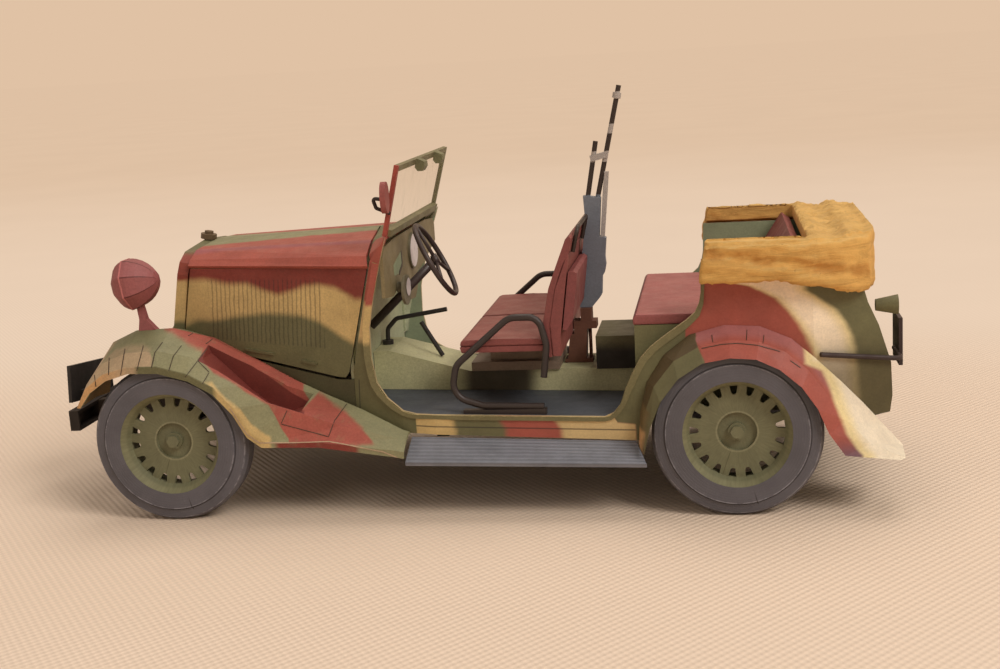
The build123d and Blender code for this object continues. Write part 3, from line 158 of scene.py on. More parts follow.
class Paint:
    """Builds a node material with short calls. x, y and z are sockets in station mm, out_y is the distance
    from the middle plane, and side_on is 1 where a face looks sideways. A mask is a socket from 0 to 1."""

    def __init__(self, name):
        self.m = bpy.data.materials.new(name)
        self.m.use_nodes = True
        self.t = self.m.node_tree
        self.t.nodes.clear()
        self.out = self.new("OutputMaterial")
        to_station = (self.new("TexCoord").outputs["Object"], (1 / MM,) * 3, (-SHIFT, 0, 0))
        self.mm = self.new("VectorMath", to_station, operation="MULTIPLY_ADD").outputs[0]
        self.x, self.y, self.z = self.new("SeparateXYZ", (self.mm,)).outputs
        self.out_y = self.abs(self.y)
        normal = self.new("NewGeometry").outputs["True Normal"]
        self.nx, self.ny, self.nz = self.new("SeparateXYZ", (normal,)).outputs
        self.side_on = self.abs(self.ny)

    def new(self, kind, inputs=(), **settings):
        return new_node(self.t, kind, inputs, **settings)

    def show(self, shader):
        """The finished material."""
        put(self.t, self.out.inputs["Surface"], shader)
        return self.m

    def math(self, op, a, b=0.0, clamp=False):
        return self.new("Math", (a, b), operation=op, use_clamp=clamp).outputs[0]

    def add(self, a, b):
        return self.math("ADD", a, b)

    def sub(self, a, b):
        return self.math("SUBTRACT", a, b)

    def mul(self, *values):
        product = values[0]
        for value in values[1:]:
            product = self.math("MULTIPLY", product, value)
        return product

    def abs(self, a):
        return self.math("ABSOLUTE", a)

    def invert(self, a):
        return self.sub(1.0, a)

    def noise(self, scale, detail=3.0, rough=0.55, stretch=(1, 1, 1), distortion=0.0, offset=0.0):
        """Noise of about 0 to 1; scale in cycles per mm."""
        place = self.new("Mapping", {"Vector": self.mm, "Scale": stretch, "Location": (offset,) * 3})
        return self.new("TexNoise", {"Vector": place, "Scale": scale, "Detail": detail, "Roughness": rough,
                                     "Distortion": distortion}).outputs["Fac"]

    def smooth(self, value, low, high, to_low=0.0, to_high=1.0):
        """A soft step from to_low at low to to_high at high."""
        return self.new("MapRange", {"Value": value, "From Min": low, "From Max": high, "To Min": to_low,
                                     "To Max": to_high}, interpolation_type="SMOOTHSTEP").outputs[0]

    def fall(self, value, low, high):
        """A soft step down from 1 to 0."""
        return self.smooth(value, low, high, 1.0, 0.0)

    def line(self, value, half_width, soft):
        """1 where a value is near 0."""
        return self.fall(self.abs(value), half_width, half_width + soft)

    def between(self, value, low, high, soft=0.2):
        """1 between two values."""
        start = self.smooth(value, low - soft, low + soft)
        return self.mul(start, self.fall(value, high - soft, high + soft))

    def curve(self, value, points):
        """Function of a value in mm through (value, result) points, level beyond the first and the last."""
        pts = sorted(points)
        lo, hi = pts[0][0], pts[-1][0]
        r_lo, r_hi = min(p[1] for p in pts) - 1e-3, max(p[1] for p in pts) + 1e-3
        n = self.new("FloatCurve", {"Value": self.math("DIVIDE", self.sub(value, lo), hi - lo, clamp=True)})
        c = n.mapping.curves[0]
        while len(c.points) < len(pts):
            c.points.new(0.5, 0.5)
        for p, (a, b) in zip(c.points, pts):
            p.location = ((a - lo) / (hi - lo), (b - r_lo) / (r_hi - r_lo))
            p.handle_type = "VECTOR"
        n.mapping.update()
        return self.add(self.mul(n.outputs[0], r_hi - r_lo), r_lo)

    def wave(self, size, scale=0.45, offset=0.0):
        """Noise of about -size to size, in mm."""
        return self.mul(self.sub(self.noise(scale, 3, 0.6, offset=offset), 0.5), 2 * size)

    def edge(self, value, along, points, soft, wobble):
        gap = self.add(self.sub(value, self.curve(along, points)), self.wave(wobble, offset=points[0][0]))
        return self.smooth(gap, -soft, soft)

    def above(self, points, soft=0.5, wobble=0.35):
        """1 above the line through (x, z) points, 0 below, with a soft wavy edge."""
        return self.edge(self.z, self.x, points, soft, wobble)

    def behind(self, points, soft=0.5, wobble=0.35):
        """1 behind (greater x than) the line through (z, x) points."""
        return self.edge(self.x, self.z, points, soft, wobble)

    def mix(self, fac, a, b):
        """Colour a, and b where the mask is 1."""
        n = self.new("Mix", (fac,), data_type="RGBA")
        for socket, value in zip((socket for socket in n.inputs if socket.type == "RGBA"), (a, b)):
            put(self.t, socket, value)
        return next(socket for socket in n.outputs if socket.type == "RGBA")

    def paint(self, base, *layers):
        """A colour with (mask, colour) layers over it, the last on top."""
        for mask, tone in layers:
            base = self.mix(mask, base, tone)
        return base

    def tint(self, color, value):
        """A colour times a value."""
        return self.new("VectorMath", {0: color, "Scale": value}, operation="SCALE").outputs[0]

    def surface(self, color, rough, bump, distance, strength, specular=0.4):
        """A surface with a fine relief; distance in mm."""
        relief = self.new("Bump", {"Distance": distance * MM, "Strength": strength, "Height": bump})
        return self.new("BsdfPrincipled", {"Base Color": color, "Roughness": rough, "Normal": relief,
                                           "Specular IOR Level": specular})

    def finish(self, *look, **more):
        return self.show(self.surface(*look, **more))

    def card(self, color, amount=0.12, grain=0.13, rough=0.58, scuffs=0.22):
        """Printed card: blotchy print, paper grain, and pale scuffs."""
        cloud = self.smooth(self.noise(0.16, 4, 0.6), 0.25, 0.75, 1 - amount, 1 + amount)
        fine = self.smooth(self.noise(3.2, 2, 0.7), 0.2, 0.8, 1 - grain, 1 + grain)
        fibre = self.smooth(self.noise(1.1, 3, 0.65, stretch=(1.0, 1.0, 2.4)), 0.2, 0.8, 0.95, 1.05)
        color = self.tint(color, self.mul(cloud, fine, fibre))
        scuff = self.smooth(self.noise(0.55, 6, 0.75, offset=31.0), 0.66, 0.80)
        color = self.mix(self.mul(scuff, scuffs), color, CARD_EDGE)
        fibres, cockle = self.noise(2.4, 4, 0.7), self.noise(0.12, 2, 0.5, offset=9.0)
        height = self.add(self.mul(fibres, 0.7), self.mul(cockle, 0.9))
        roughness = self.smooth(self.noise(0.4, 3, 0.6, offset=5.0), 0.3, 0.7, rough - 0.07, rough + 0.1)
        return self.finish(color, roughness, height, distance=0.06, strength=0.5)

    def lined(self, color):
        """The panel's inner face is pale olive, and its cut edge shows card."""
        inward = self.mul(self.ny, self.math("SIGN", self.y))
        color = self.mix(self.fall(inward, -0.6, -0.4), color, INNER)
        return self.mix(self.smooth(self.side_on, 0.45, 0.65, 0.8, 0.0), color, CARD_EDGE)

    def backed(self, color):
        """A fender's under side is pale olive."""
        return self.mix(self.fall(self.nz, -0.35, -0.15), color, INNER)


def srgb(r, g, b):
    """A colour of the screen, 0 to 255, in the renderer's linear values."""
    shares = (r / 255, g / 255, b / 255)
    return tuple(c / 12.92 if c <= 0.04045 else ((c + 0.055) / 1.055) ** 2.4 for c in shares)


RED = srgb(158, 80, 66)
RED_DEEP = srgb(122, 50, 40)
RED_SHEEN = srgb(160, 98, 94)
OLIVE = srgb(102, 98, 66)
OLIVE_PALE = srgb(134, 130, 96)
OLIVE_DARK = srgb(74, 70, 46)
SAND = srgb(194, 165, 109)
SAND_PALE = srgb(246, 226, 196)
SAND_YELLOW = srgb(228, 206, 152)
TAN = srgb(174, 148, 116)
ORANGE_EDGE = srgb(190, 146, 98)
CARD_EDGE = srgb(190, 166, 124)
SEAT = srgb(136, 76, 68)
SEAT_DARK = srgb(110, 54, 56)
INNER = srgb(140, 148, 116)
DARK = srgb(42, 38, 36)
BLACK_BROWN = srgb(30, 22, 18)
FLOOR_BLUE = srgb(74, 78, 84)
TYRE = srgb(92, 89, 94)
RIM = srgb(112, 110, 82)
CANVAS = srgb(216, 168, 94)
GUN_GREY = srgb(112, 116, 124)
PALE_GREY = srgb(170, 160, 152)
SAND_COWL, SAND_SILL = srgb(208, 178, 124), srgb(204, 176, 124)
OLIVE_SHADE = srgb(76, 66, 40)
UNDERSIDE = srgb(52, 42, 34)


def plain(name, color, **more):
    """Printed card of one tone."""
    return Paint(name).card(color, **more)


def black_wire(name, color):
    """Painted wire: smoother than card, with few scuffs."""
    return plain(name, color, rough=0.42, scuffs=0.08)


def clamp(value):
    return max(0.0, min(1.0, value))


# ---- camouflage ----
# The masks' numbers are station mm: a soft step starts and ends at its two numbers, and a colour edge runs
# through its points. Points handed to stations() and heights() are pixels where a colour edge was seen.
BODY, FRONT, REAR = "body_side_left", "front_fender_left", "rear_fender_left"
CALM = {"grain": 0.07, "scuffs": 0.12}     # the body's and rear fenders' print is less worn


def body_side_material():
    p = Paint("body_side_camouflage")
    # cowl strip: red-brown above, sand, olive below
    cowl = p.fall(p.x, 39.5, 40.5)
    sand_cowl = p.mul(cowl, p.above([(30, 28.6), (38, 27.6)], soft=0.9, wobble=0.2))
    red_cowl = p.mul(cowl, p.above([(30, 34.9), (38, 34.3)], soft=0.7, wobble=0.2))
    # sill: sand, olive, red, sand stripes
    sill_top = p.curve(p.x, [(40.0, 17.7), (71.5, 17.7), (73.4, 14.6), (77.0, 14.2)])
    sill = p.mul(p.smooth(p.x, 40.6, 40.8), p.fall(p.sub(p.z, sill_top), -0.3, 0.1),
                 p.fall(p.x, 76.0, 76.4))
    sand_end, red_start, red_end = (p.behind([(13.6, low), (17.6, high)], soft=0.7)
                                    for low, high in ((47.3, 46.4), (55.5, 52.9), (64.4, 61.7)))
    stripes = [(p.mul(sill, p.invert(sand_end)), SAND), (p.mul(sill, red_start), RED),
               (p.mul(sill, red_end), SAND_SILL)]
    # rear side: red-brown, a curved sand band with yellow fringes, olive rear
    red_edge = heights(BODY, [(702.1, 286.2), (698.6, 304.6), (697, 313.8), (690.4, 323), (685.3, 330.1)])
    red_rear = p.mul(p.behind(red_edge, soft=0.15, wobble=0.1), p.smooth(p.z, 20.0, 22.0))
    sand_edge = heights(BODY, [(732, 283), (750, 286.5), (762, 291.5), (776.2, 298.6), (788.6, 311.1),
                               (798.6, 323.5), (806, 336), (812.2, 348.4), (814.7, 355.8)])
    olive_edge = heights(BODY, [(804.8, 290), (822.2, 299.9), (834.6, 308.6), (844.6, 321), (852, 334.7),
                                (855.8, 349.6), (857, 364.6), (858.3, 380.7), (859.5, 393.2)])
    fringe = p.behind(sand_edge, soft=0.7, wobble=0.3)
    sand_rear = p.behind([(z, x + 0.9) for z, x in sand_edge], soft=0.9, wobble=0.3)
    fringe_rear = p.behind([(z, x - 1.3) for z, x in olive_edge], soft=1.2, wobble=0.3)
    olive_rear = p.behind(olive_edge, soft=0.7, wobble=0.3)
    # painted shade: the lower rear of the side is darkened towards OLIVE_SHADE
    tail_shade = p.mul(p.smooth(p.x, 98.0, 106.0), p.fall(p.z, 20.0, 30.0))
    color = p.paint(OLIVE, (sand_cowl, SAND_COWL), (red_cowl, RED), *stripes, (red_rear, RED),
                    (fringe, SAND_YELLOW), (sand_rear, SAND_PALE), (fringe_rear, SAND_YELLOW),
                    (olive_rear, OLIVE), (p.mul(tail_shade, 0.8), OLIVE_SHADE))
    shut_line = p.mul(p.line(p.sub(p.z, p.curve(p.x, [(33, 14.75), (78, 13.2)])), 0.06, 0.10), sill)
    hinge_line = p.line(p.sub(p.x, p.curve(p.z, [(13, 30.6), (22, 31.0)])), 0.05, 0.08)
    hinge_line = p.mul(hinge_line, p.fall(p.z, 21.5, 22.0))
    color = p.mix(p.mul(p.add(shut_line, hinge_line), 0.7), color, DARK)
    return p.card(p.lined(color), **CALM)


def hood_side_material():
    """Three bands with wavy edges, ruled louvre lines, and painted shade: the face that looks back into the
    gap at the rear edge is near black.
    """
    p = Paint("hood_side_camouflage")
    red = p.above([(0.5, 38.2), (4, 38.4), (8.5, 37.6), (12, 37.7), (14.5, 36.6), (17.5, 35.8), (20, 36.4),
                   (22.5, 37.3), (25, 37.6), (28, 37.0), (31.5, 35.2)], soft=0.8, wobble=0.25)
    sand = p.above([(-1, 30.2), (2, 31.4), (5.5, 31.4), (10, 32.1), (14, 32.6), (18, 32.6), (21, 32.4),
                    (24, 31.6), (26.5, 30.2), (28.5, 28.8), (31, 27.5)], soft=0.8, wobble=0.25)
    color = p.paint(OLIVE, (sand, SAND), (red, RED_DEEP))
    lean = p.mul(p.sub(p.z, 33.0), 0.07)
    across = p.math("PINGPONG", p.add(p.sub(p.x, lean), p.wave(0.25, 0.35, 3.0)), 0.415)
    foot, above_foot = (p.curve(p.x, [(4, 28.0 + rise), (26, 26.6 + rise)]) for rise in (0, 0.4))
    window = p.mul(p.between(p.x, 4.5, 25.4), p.fall(p.z, 38.0, 38.8), p.smooth(p.z, foot, above_foot))
    louvre = p.mul(p.fall(across, 0.04, 0.20), window)
    color = p.mix(p.mul(louvre, 0.45), color, DARK)
    # painted shade: faces that look backwards into the gap at the rear edge are near black
    return p.card(p.mix(p.smooth(p.nx, 0.4, 0.7), p.lined(color), srgb(26, 20, 16)))


def hood_top_material():
    p = Paint("hood_top_camouflage")
    # an olive band along the middle, red-brown beside it, a painted pinkish reflection along the fold, a dark
    # line at the hinge
    edge = p.add(p.curve(p.x, [(-3, 7.6), (4, 6.6), (12, 5.4), (20, 4.2), (33, 3.4)]), p.wave(0.7, 0.4))
    color = p.mix(p.smooth(p.sub(p.out_y, edge), -0.6, 0.6), OLIVE_PALE, RED)
    fold = p.fall(p.abs(p.sub(p.out_y, p.curve(p.x, [(0, 10.4), (33, 13.2)]))), 0.3, 1.6)
    # painted reflection: a pinkish tint along the fold stands in for the top light's sheen
    color = p.mix(p.mul(fold, 0.45), color, srgb(134, 84, 96))
    return p.card(p.mix(p.mul(p.line(p.out_y, 0.10, 0.14), 0.7), color, DARK))


def cowl_top_material():
    p = Paint("cowl_top_camouflage")
    right_rear = p.mul(p.smooth(p.y, 10.0, 12.0), p.smooth(p.x, 33.5, 34.5))
    red = p.mul(p.smooth(p.add(p.out_y, p.wave(0.8)), 14.4, 15.6), p.invert(right_rear))
    return p.card(p.mix(red, OLIVE, RED))


# the fender's crown along the spare wheel well: station, height
WELL_RIM = [(5.9, 29.6), (8.6, 28.3), (12.7, 25.6), (16.4, 22.7), (19.6, 20.2), (23.5, 17.9)]


def front_fender_material():
    p = Paint("front_fender_camouflage")
    tan_top = stations(FRONT, [(96, 366), (104.6, 356.3), (114.8, 349.9), (131.4, 345.4), (142.9, 344.8),
                               (149.3, 349)])
    tan_back = heights(FRONT, [(149.3, 351.2), (151.8, 358.8), (151.2, 370.3), (150.5, 374)])
    tan = p.mul(p.invert(p.above(tan_top, 0.4)), p.invert(p.behind(tan_back, 0.35)))
    tan = p.math("MAXIMUM", tan, p.fall(p.x, -11.5, -10.0))
    low_tan = p.mul(tan, p.fall(p.z, 19.5, 24.0))
    red_edge = stations(FRONT, [(164, 329.5), (172.2, 333.3), (187.6, 343.5), (201.6, 349.9), (213.1, 358.8),
                                (219.4, 369), (229.6, 380.5), (245, 392), (268.3, 404.6), (274.6, 414.8),
                                (281, 427.6), (288.7, 439), (290, 446.7)])
    red_edge = [(red_edge[0][0] - 1.2, red_edge[0][1] + 5)] + red_edge
    red = p.above(red_edge, 0.3, 0.25)
    inner_edge = stations(FRONT, [(301.4, 381.6), (319.3, 391.8), (335.9, 405.9), (344.8, 411),
                                  (352.4, 418.6), (362.7, 428.8), (374.1, 444.1), (383, 453)])
    inner_edge = [(inner_edge[0][0] - 5, inner_edge[0][1] + 9)] + inner_edge
    inner = p.mul(p.above(inner_edge, 0.35, 0.25), p.smooth(p.x, 16.0, 18.0))
    sand_edge = stations(FRONT, [(212, 382), (226, 399), (240, 409), (252, 425), (266, 435), (284, 442)])
    sand = p.mul(p.invert(p.above(sand_edge, 0.4, 0.2)), p.smooth(p.x, 6.0, 9.0), p.fall(p.x, 17.2, 18.0))
    flange = p.smooth(p.out_y, 27.85, 27.95)
    worn = p.smooth(p.noise(0.5, 5, 0.7, offset=4.0), 0.52, 0.75)
    front_top = p.mul(p.fall(p.x, -5.0, 1.0), p.smooth(p.nz, 0.5, 0.95))
    well = p.mul(p.between(p.out_y, 20.6, 26.1, 0.03), p.between(p.x, 5.9, 23.0, 0.1),
                 p.fall(p.sub(p.z, p.curve(p.x, WELL_RIM)), -0.5, -0.2))
    color = p.paint(OLIVE_PALE, (tan, TAN), (low_tan, ORANGE_EDGE), (red, RED), (inner, OLIVE_PALE),
                    (sand, SAND),
                    (p.mul(flange, p.fall(p.x, -12.0, -4.5)), ORANGE_EDGE),
                    (p.mul(flange, p.between(p.x, -4.0, 9.0, 0.6)), OLIVE),
                    (p.mul(flange, p.between(p.x, 18.5, 32.0, 0.6)), RED_DEEP),
                    (p.mul(worn, 0.35), OLIVE_PALE), (p.mul(front_top, 0.5), srgb(84, 82, 52)),
                    (well, srgb(112, 48, 40)))
    return p.card(p.backed(color))


def rear_fender_material():
    p = Paint("rear_fender_camouflage")
    olive = p.invert(p.behind(heights(REAR, [(695.5, 340.3), (698.6, 348.5), (704.7, 361.7)]), 0.2, 0.15))
    foot = p.invert(p.behind([(8, 76.6), (13, 77.6), (17, 78.6), (20, 75.0)], 0.5, 0.2))
    tail_edge = heights(REAR, [(813.5, 355.8), (822.2, 370.8), (829.7, 387), (834.6, 403.1), (840.8, 418),
                               (847.1, 434.2), (857, 449.1), (863.2, 455.3)])
    foot_low = p.mul(foot, p.fall(p.z, 13.4, 14.4))
    fringe = p.behind(tail_edge, 0.5, 0.2)
    tail = p.behind([(z, x + 1.6) for z, x in tail_edge], 1.0, 0.3)
    # painted sheen: the crown is a pinker red than the side strip
    red = p.mix(p.smooth(p.out_y, 24.0, 26.6), RED_SHEEN, RED)
    red = p.mix(p.fall(p.z, 9.5, 13.0), red, srgb(112, 76, 84))
    shaded = p.mul(olive, p.fall(p.side_on, 0.45, 0.75), 0.8)
    color = p.paint(red, (olive, OLIVE), (shaded, srgb(76, 58, 36)), (foot, srgb(104, 86, 52)),
                    (foot_low, ORANGE_EDGE), (fringe, SAND_YELLOW), (tail, srgb(240, 224, 198)))
    return p.card(p.backed(color), **CALM)


def radiator_material():
    p = Paint("radiator_camouflage")
    # the red band is the print's red made darker: painted shade on the forward-facing shell
    return p.card(p.paint(OLIVE, (p.above([(-10, 31.0), (5, 31.0)], 0.7), SAND),
                          (p.above([(-10, 38.4), (5, 38.0)]), srgb(132, 60, 46)),
                          (p.above([(-10, 42.4), (5, 42.4)]), OLIVE)))


# ---- other materials ----
def grille_material():
    p = Paint("grille_mesh")
    mesh = p.mul(p.smooth(p.math("PINGPONG", p.y, 0.35), 0.06, 0.16),
                 p.smooth(p.math("PINGPONG", p.z, 0.9), 0.05, 0.14))
    color = p.mix(mesh, srgb(118, 112, 88), srgb(40, 40, 36))
    color = p.tint(color, p.smooth(p.noise(0.6, 4), 0.2, 0.8, 0.8, 1.2))
    return p.finish(color, 0.6, p.mul(mesh, -1.0), 0.15, 0.8)


def ribbed_board_material():
    p = Paint("ribbed_board")
    rib = p.math("SINE", p.mul(p.y, 2 * math.pi / 0.62))
    grain = p.noise(1.6, 4, 0.7)
    value = p.mul(p.smooth(rib, -1, 1, 0.84, 1.1), p.smooth(p.noise(0.3, 4, 0.6), 0.2, 0.8, 0.82, 1.16))
    color = p.tint(p.mix(p.smooth(grain, 0.62, 0.85), srgb(118, 119, 126), srgb(152, 153, 160)), value)
    return p.finish(color, p.smooth(grain, 0.2, 0.8, 0.5, 0.75), p.add(p.mul(rib, 0.5), grain), 0.16, 0.8)


def from_axle(p, centre_x):
    """Distances behind, above and out from a wheel's axle."""
    dx, dz = p.sub(p.x, centre_x), p.sub(p.z, AXLE_HEIGHT)
    return dx, dz, p.math("SQRT", p.add(p.mul(dx, dx), p.mul(dz, dz)))


def tyre_material(centre_x):
    """Dark grey card rings with one glued seam."""
    p = Paint(f"tyre_card_{int(centre_x)}")
    dx, dz, r = from_axle(p, centre_x)
    side = p.smooth(p.side_on, 0.3, 0.5)
    ring = p.fall(p.math("PINGPONG", p.add(r, p.wave(0.11, 0.3)), 0.21), 0.0, 0.06)
    fleck = p.smooth(p.noise(1.9, 5, 0.75), 0.55, 0.85)
    # painted highlights along the tyre's step edges at r 11.0 and 12.7, broken up unevenly
    edge_highlight = p.add(p.line(p.sub(r, 11.0), 0.03, 0.12), p.line(p.sub(r, 12.7), 0.04, 0.14))
    patchy = p.smooth(p.noise(0.7, 4, 0.7, offset=8.0), 0.4, 0.62)
    color = p.paint(TYRE, (p.mul(ring, side, 0.14), srgb(52, 48, 54)),
                    (p.mul(fleck, 0.35), srgb(132, 128, 134)),
                    (p.mul(edge_highlight, patchy, 0.6), srgb(150, 146, 152)),
                    # painted shadow line under the step, at r 11.2
                    (p.mul(p.line(p.sub(r, 11.22), 0.03, 0.10), 0.8), srgb(34, 30, 32)))
    seam = p.mul(p.line(p.sub(dx, p.mul(dz, -0.26)), 0.04, 0.1), p.fall(dz, -10.6, -8.6),
                 p.smooth(dz, -11.4, -11.0))
    color = p.mix(p.mul(seam, 0.7), color, srgb(30, 26, 26))
    color = p.tint(color, p.smooth(p.noise(0.14, 4, 0.6), 0.2, 0.8, 0.82, 1.14))
    height = p.add(p.mul(ring, -0.3), p.mul(p.noise(2.2, 4, 0.75), 0.9))
    return p.finish(color, p.smooth(p.noise(0.5, 3), 0.2, 0.8, 0.5, 0.7), height, 0.08, 0.7)


def rim_material(centre_x):
    """Olive card with streaks that run outwards."""
    p = Paint(f"rim_card_{int(centre_x)}")
    dx, dz, r = from_axle(p, centre_x)
    around = p.new("CombineXYZ", (p.mul(p.math("ARCTAN2", dz, dx), 9.0), p.mul(r, 0.35)))
    ray = p.new("TexNoise", {"Vector": around, "Scale": 2.2, "Detail": 4.0}).outputs["Fac"]
    streak = p.smooth(ray, 0.25, 0.75, 0.88, 1.10)
    seam = p.mul(p.line(p.sub(dx, p.mul(dz, 0.35)), 0.03, 0.08), p.between(r, 3.3, 7.2),
                 p.fall(dz, -1.0, 0.0))
    color = p.paint(RIM, (p.mul(p.line(p.sub(r, 8.1), 0.15, 0.3), 0.3), srgb(150, 144, 110)),
                    (p.mul(p.line(p.sub(r, 3.2), 0.05, 0.16), 0.5), srgb(150, 144, 112)),
                    (p.mul(seam, 0.6), OLIVE_DARK))
    color = p.tint(color, p.mul(streak, p.smooth(p.noise(0.3, 4), 0.2, 0.8, 0.88, 1.1)))
    return p.finish(color, 0.62, p.add(ray, p.noise(2.0, 4, 0.7)), 0.04, 0.5)


def seat_material(name, top=SEAT):
    p = Paint(name)
    front = p.fall(p.nx, -0.5, -0.3)
    sides = p.smooth(p.side_on, 0.5, 0.8)
    # painted shade: the sides, and more so the front, are darker copies of the top's red
    color = p.paint(top, (p.mul(sides, 0.5), SEAT_DARK), (p.mul(front, 0.85), srgb(104, 48, 48)))
    return p.card(color, amount=0.1, scuffs=0.12)


def glass_material():
    """Clear film with a few glossy streaks."""
    p = Paint("clear_film")
    streak = p.noise(0.5, 5, 0.7, stretch=(1.0, 0.9, 0.22), distortion=0.6)
    clear = p.new("BsdfTransparent", ((0.97, 0.96, 0.94),))
    gloss = p.new("BsdfPrincipled", {"Base Color": srgb(214, 200, 184), "Roughness": 0.22})
    return p.show(p.new("MixShader", (p.smooth(streak, 0.50, 0.80, 0.04, 0.26), clear, gloss)))


def gauge_material():
    p = Paint("gauge_card")
    blot = p.smooth(p.noise(0.8, 4, 0.7), 0.45, 0.75)
    white = p.mix(p.mul(blot, 0.4), srgb(224, 212, 208), srgb(178, 146, 150))
    color = p.mix(p.smooth(p.nx, 0.4, 0.6), OLIVE_DARK, white)
    return p.finish(color, 0.45, p.noise(2, 3), 0.04, 0.4)


def gun_material():
    p = Paint("gun_card")
    rail = p.mul(p.behind([(40, 70.0), (41.3, 70.05), (49.1, 70.8), (52.4, 71.2)], soft=0.15, wobble=0),
                 p.between(p.z, 41.2, 52.3, 0.05))
    bands = [(p.mul(p.between(p.z, low, high, 0.05), p.smooth(p.x, start - 0.1, start)), PALE_GREY)
             for low, high, start in ((53.9, 55.7, 68.0), (58.6, 60.2, 71.4), (64.3, 65.5, 72.0))]
    color = p.paint(GUN_GREY, (p.smooth(p.z, 48.3, 48.5), srgb(52, 40, 34)), (rail, PALE_GREY), *bands)
    return p.card(color, amount=0.08, grain=0.1, scuffs=0.1)


# the main crease along the canvas's side: station, height
CREASE = [(86.0, 41.4), (90.0, 40.9), (94.0, 40.4), (98.0, 39.9), (102.0, 39.1), (106.0, 38.3), (110.0, 37.6),
          (114.0, 37.2)]


def canvas_material():
    p = Paint("crumpled_canvas")
    cloud = p.smooth(p.noise(0.10, 4, 0.6, stretch=(1, 1, 2.5)), 0.25, 0.75)
    crease = p.smooth(p.noise(0.32, 5, 0.7, stretch=(0.35, 0.6, 2.2), distortion=0.8), 0.3, 0.7)
    rough_top = p.smooth(p.nz, 0.4, 0.8)
    pores = p.mul(p.smooth(p.noise(1.1, 4, 0.7, offset=3.0), 0.60, 0.72), rough_top)
    # painted shade: a darker orange-brown band along the main crease of the side
    band = p.fall(p.abs(p.sub(p.z, p.curve(p.x, CREASE))), 0.3, 1.5)
    band = p.mul(band, p.smooth(p.noise(0.25, 3, 0.6, offset=6.0), 0.40, 0.62), p.smooth(p.side_on, 0.3, 0.7))
    color = p.paint(CANVAS, (p.mul(cloud, 0.45), srgb(196, 142, 72)),
                    (p.mul(rough_top, 0.4), srgb(204, 168, 106)),
                    (p.mul(pores, 0.4), srgb(140, 98, 50)), (p.mul(band, 0.55), srgb(172, 106, 38)))
    fine = p.smooth(p.noise(2.6, 3, 0.7), 0.2, 0.8, 0.95, 1.05)
    color = p.tint(color, p.mul(p.smooth(crease, 0, 1, 0.90, 1.10), fine))
    height = p.add(p.mul(crease, 1.2), p.add(p.mul(p.noise(1.8, 4, 0.75), 0.5), p.mul(pores, -1.4)))
    return p.finish(color, 0.78, height, 0.15, 0.6, specular=0.25)


def storage_box_material():
    p = Paint("storage_box_card")
    # painted shade: near black low on the box, olive higher up
    return p.card(p.mix(p.smooth(p.z, 22.3, 24.6), srgb(20, 15, 10), srgb(92, 86, 60)))


def tunnel_material():
    p = Paint("tunnel_card")
    # painted shadow of the front seats on the tunnel's sides
    seat_shadow = p.mul(p.between(p.x, 46.0, 58.0, 1.6), p.smooth(p.side_on, 0.3, 0.6))
    return p.card(p.mix(p.mul(seat_shadow, 0.92), srgb(190, 184, 142), srgb(44, 34, 26)))


def mirror_material():
    p = Paint("mirror_card")
    wire_part = p.math("MAXIMUM", p.fall(p.x, 37.35, 37.45), p.smooth(p.y, -21.7, -21.5))
    return p.card(p.mix(wire_part, srgb(146, 78, 72), srgb(48, 38, 34)))


MATERIALS = {
    "mirror": mirror_material(), "tunnel": tunnel_material(), "storage_box": storage_box_material(),
    "hood_sides": hood_side_material(), "hood_top": hood_top_material(), "cowl_top": cowl_top_material(),
    "radiator_shell": radiator_material(), "radiator_grille": grille_material(),
    "running_boards": ribbed_board_material(), "gun": gun_material(),
    "seat_pouches": seat_material("pouch_card", srgb(134, 74, 70)),
    "rear_seat_back": seat_material("rear_seat_back_card", srgb(132, 70, 66)),
}
PAIRED = {
    "body_side": body_side_material(), "front_fender": front_fender_material(),
    "rear_fender": rear_fender_material(), "tyre_front": tyre_material(0.0), "rim_front": rim_material(0.0),
    "tyre_rear": tyre_material(REAR_AXLE), "rim_rear": rim_material(REAR_AXLE),
}
CARD_TONES = {
    "radiator_cap": srgb(104, 84, 60), "floor": FLOOR_BLUE, "wheelhouses": srgb(110, 108, 80),
    "bulkhead": srgb(186, 188, 152), "hood_aprons": OLIVE_DARK, "tail_panel": OLIVE, "rear_lamp": OLIVE,
    "rear_number_plate": srgb(56, 42, 40), "rear_seat_box": OLIVE, "gun_post": srgb(104, 66, 50),
    "front_bumper": BLACK_BROWN, "front_number_plate": DARK, "seat_pedestal": srgb(136, 116, 98),
    "frame_rails": UNDERSIDE, "front_axle": UNDERSIDE, "rear_axle": UNDERSIDE, "leaf_springs": UNDERSIDE,
    "propeller_shaft": UNDERSIDE,
}
WIRE_TONES = {"levers": DARK, "seat_wires": srgb(50, 42, 40), "seat_handles": srgb(48, 38, 32)}
MATERIALS.update({f"{node}_{side}": material for node, material in PAIRED.items() for side in SIDES.values()})
MATERIALS.update({node: plain(f"{node}_card", tone) for node, tone in CARD_TONES.items()})
MATERIALS.update({node: black_wire(f"{node}_black", tone) for node, tone in WIRE_TONES.items()})
for node, material in MATERIALS.items():
    NODES[node].data.materials.clear()
    NODES[node].data.materials.append(material)


# ---- pieces made here; sizes in mm ----
STRIP_SINK = 0.10      # how deep a strip stands in its sheet


def add_piece(name, bm, *materials, slot, smooth=False, body="chassis", stands_for=()):
    """A new object from a bmesh in row metres, riding on a body."""
    bmesh.ops.recalc_face_normals(bm, faces=bm.faces)
    mesh = bpy.data.meshes.new(name)
    bm.to_mesh(mesh)
    bm.free()
    for material in materials:
        mesh.materials.append(material)
    if smooth:
        mesh.shade_smooth()
    piece = new_object(name, mesh)
    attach(piece, body)
    if stands_for:
        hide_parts(*stands_for)


